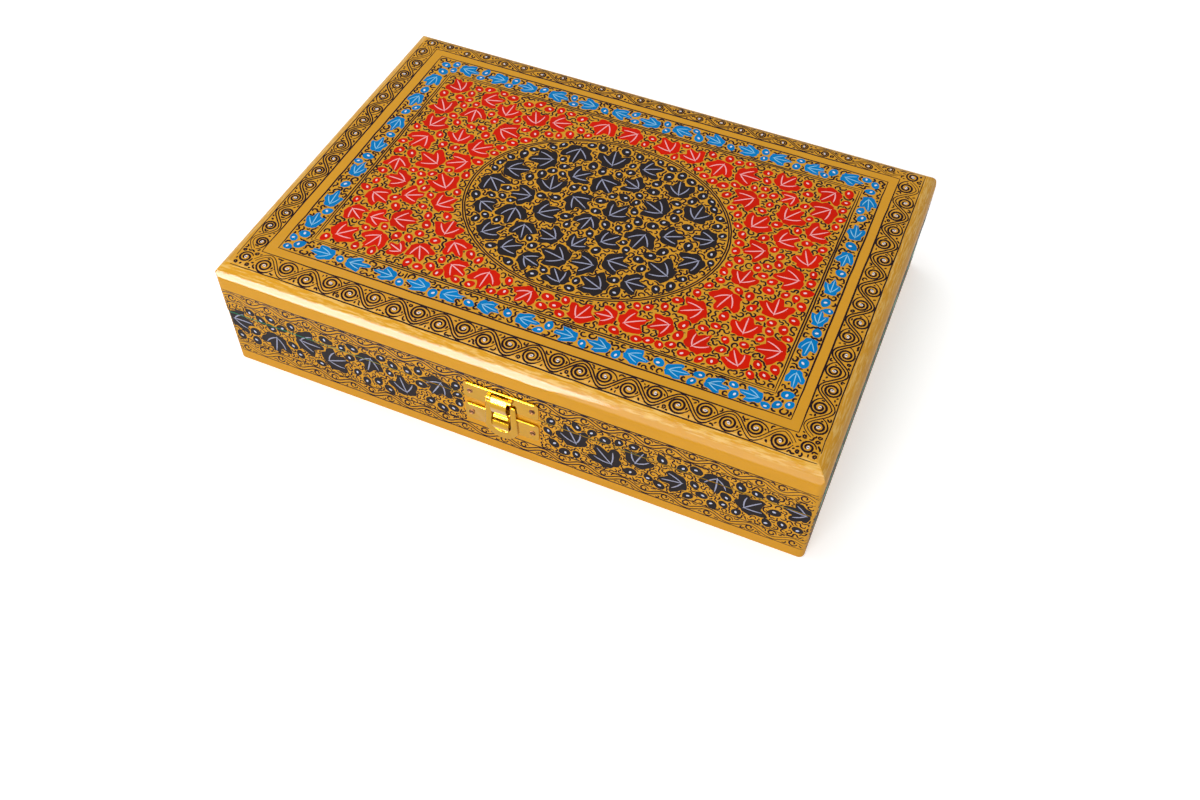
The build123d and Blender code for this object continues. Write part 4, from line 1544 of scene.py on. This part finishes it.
# ---- Operators -----------------------------------------------------------------------------------
class PAPERBOX_OT_stage(bpy.types.Operator):
    """Set up the floor, the light and the camera"""

    bl_idname = "paperbox.stage"
    bl_label = "Stage"

    def execute(self, context):
        stage = context.scene.stage_sizes
        set_world(stage)
        set_floor(stage)
        add_lamp(stage.top_power, *TOP_LAMP)
        add_lamp(stage.front_power, *FRONT_LAMP)
        add_lamp(stage.card_power, *CARD, gleam_only=True)
        add_lamp(DIM_SHARE * stage.card_power, *DIM_CARD, gleam_only=True)
        set_camera(stage)
        context.scene.view_settings.view_transform = "Standard"
        return {"FINISHED"}


class PAPERBOX_OT_gild(bpy.types.Operator):
    """Gild the skins and varnish them, and leave the board bare"""

    bl_idname = "paperbox.gild"
    bl_label = "Gild the skins"

    def execute(self, context):
        for name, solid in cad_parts.items():
            if name.endswith("_skin"):
                finish = known_material(gilded_material)
            elif name.endswith(("_wall", "_rail", "base_floor", "top_panel")):
                finish = known_material(board_material)
            else:
                continue
            solid.data.materials.clear()
            solid.data.materials.append(finish)
        return {"FINISHED"}


class PAPERBOX_OT_felt(bpy.types.Operator):
    """Line the base and the lid with felt"""

    bl_idname = "paperbox.felt"
    bl_label = "Felt lining"

    def execute(self, context):
        for body, panel, under in (
            ("base", "base_floor_lining", "base_floor"), ("lid", "lid_panel_lining", "lid_top_panel"),
        ):
            low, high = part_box(panel)
            lay_felt(panel, body)
            for hand in ("front", "back", "left", "right"):
                name = f"{body}_{hand}_lining"
                low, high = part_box(name)
                run, turned_over = high.x - low.x, high.y - low.y
                if hand in ("left", "right"):
                    run, turned_over = turned_over, run
                lay_felt(name, body)
        return {"FINISHED"}


class PAPERBOX_OT_clasp(bpy.types.Operator):
    """Finish the plates, the hasp, the pin and the nails of the clasp"""

    bl_idname = "paperbox.clasp"
    bl_label = "Clasp"

    def execute(self, context):
        finish_fittings("base", "clasp_catch_plate")
        finish_fittings("lid", "clasp_lid_plate", "clasp_pin")
        build_hasp()
        finish_fittings("base", "clasp_catch_nails")
        finish_fittings("lid", "clasp_lid_nails")
        return {"FINISHED"}


class PAPERBOX_OT_hinges(bpy.types.Operator):
    """Finish the leaves, the pins and the nails of the two hinges"""

    bl_idname = "paperbox.hinges"
    bl_label = "Hinges"

    def execute(self, context):
        for hand in ("left", "right"):
            finish_fittings("base", f"hinge_{hand}_base_leaf", f"hinge_{hand}_pin")
            finish_fittings("lid", f"hinge_{hand}_lid_leaf")
        finish_fittings("base", "hinge_base_nails")
        finish_fittings("lid", "hinge_lid_nails")
        return {"FINISHED"}


class PAPERBOX_OT_lid_border(bpy.types.Operator):
    """Paint the scroll border of the lid"""

    bl_idname = "paperbox.lid_border"
    bl_label = "Lid border"

    def execute(self, context):
        paint_lid_border()
        return {"FINISHED"}


class PAPERBOX_OT_blue_band(bpy.types.Operator):
    """Paint the blue band of the lid"""

    bl_idname = "paperbox.blue_band"
    bl_label = "Blue band"

    def execute(self, context):
        paint_blue_band()
        return {"FINISHED"}


class PAPERBOX_OT_field(bpy.types.Operator):
    """Paint the red field of the lid"""

    bl_idname = "paperbox.field"
    bl_label = "Red field"

    def execute(self, context):
        paint_field()
        return {"FINISHED"}


class PAPERBOX_OT_medallion(bpy.types.Operator):
    """Paint the black medallion of the lid"""

    bl_idname = "paperbox.medallion"
    bl_label = "Medallion"

    def execute(self, context):
        paint_medallion()
        return {"FINISHED"}


class PAPERBOX_OT_sides(bpy.types.Operator):
    """Paint the four sides, cut at the seam"""

    bl_idname = "paperbox.sides"
    bl_label = "Sides"

    def execute(self, context):
        clasp = ("clasp_lid_plate", "clasp_catch_plate")
        hinges = [f"hinge_{hand}_{part}_leaf" for hand in ("left", "right") for part in ("lid", "base")]
        paint_side("front", 5, 17, 62, "black", "lilac", clasp)
        paint_side("back", 6, 15, 58, "black", "lilac", hinges)
        paint_side("left", 7, 10, 42, "green", "mint")
        paint_side("right", 8, 10, 42, "green", "mint")
        return {"FINISHED"}


STEPS = (
    PAPERBOX_OT_stage,
    PAPERBOX_OT_gild,
    PAPERBOX_OT_lid_border,
    PAPERBOX_OT_blue_band,
    PAPERBOX_OT_field,
    PAPERBOX_OT_medallion,
    PAPERBOX_OT_sides,
    PAPERBOX_OT_felt,
    PAPERBOX_OT_clasp,
    PAPERBOX_OT_hinges,
)


class PAPERBOX_PT_panel(bpy.types.Panel):
    """Steps and settings of the painted box"""

    bl_idname = "PAPERBOX_PT_panel"
    bl_label = "Painted box"
    bl_space_type = "VIEW_3D"
    bl_region_type = "UI"
    bl_category = "Painted box"

    def draw(self, context):
        for step in STEPS:
            self.layout.operator(step.bl_idname)


SETTINGS = {"ornament_sizes": OrnamentSizes, "box_paints": BoxPaints, "stage_sizes": StageSizes}


def register():
    for kind in (*SETTINGS.values(), *STEPS, PAPERBOX_PT_panel):
        bpy.utils.register_class(kind)
    for name, kind in SETTINGS.items():
        setattr(bpy.types.Scene, name, PointerProperty(type=kind))


def unregister():
    for name in SETTINGS:
        delattr(bpy.types.Scene, name)
    for kind in reversed((*SETTINGS.values(), *STEPS, PAPERBOX_PT_panel)):
        bpy.utils.unregister_class(kind)


def main():
    register()
    for step in STEPS:
        group, call = step.bl_idname.split(".")
        getattr(getattr(bpy.ops, group), call)()


if __name__ == "__main__":
    main()
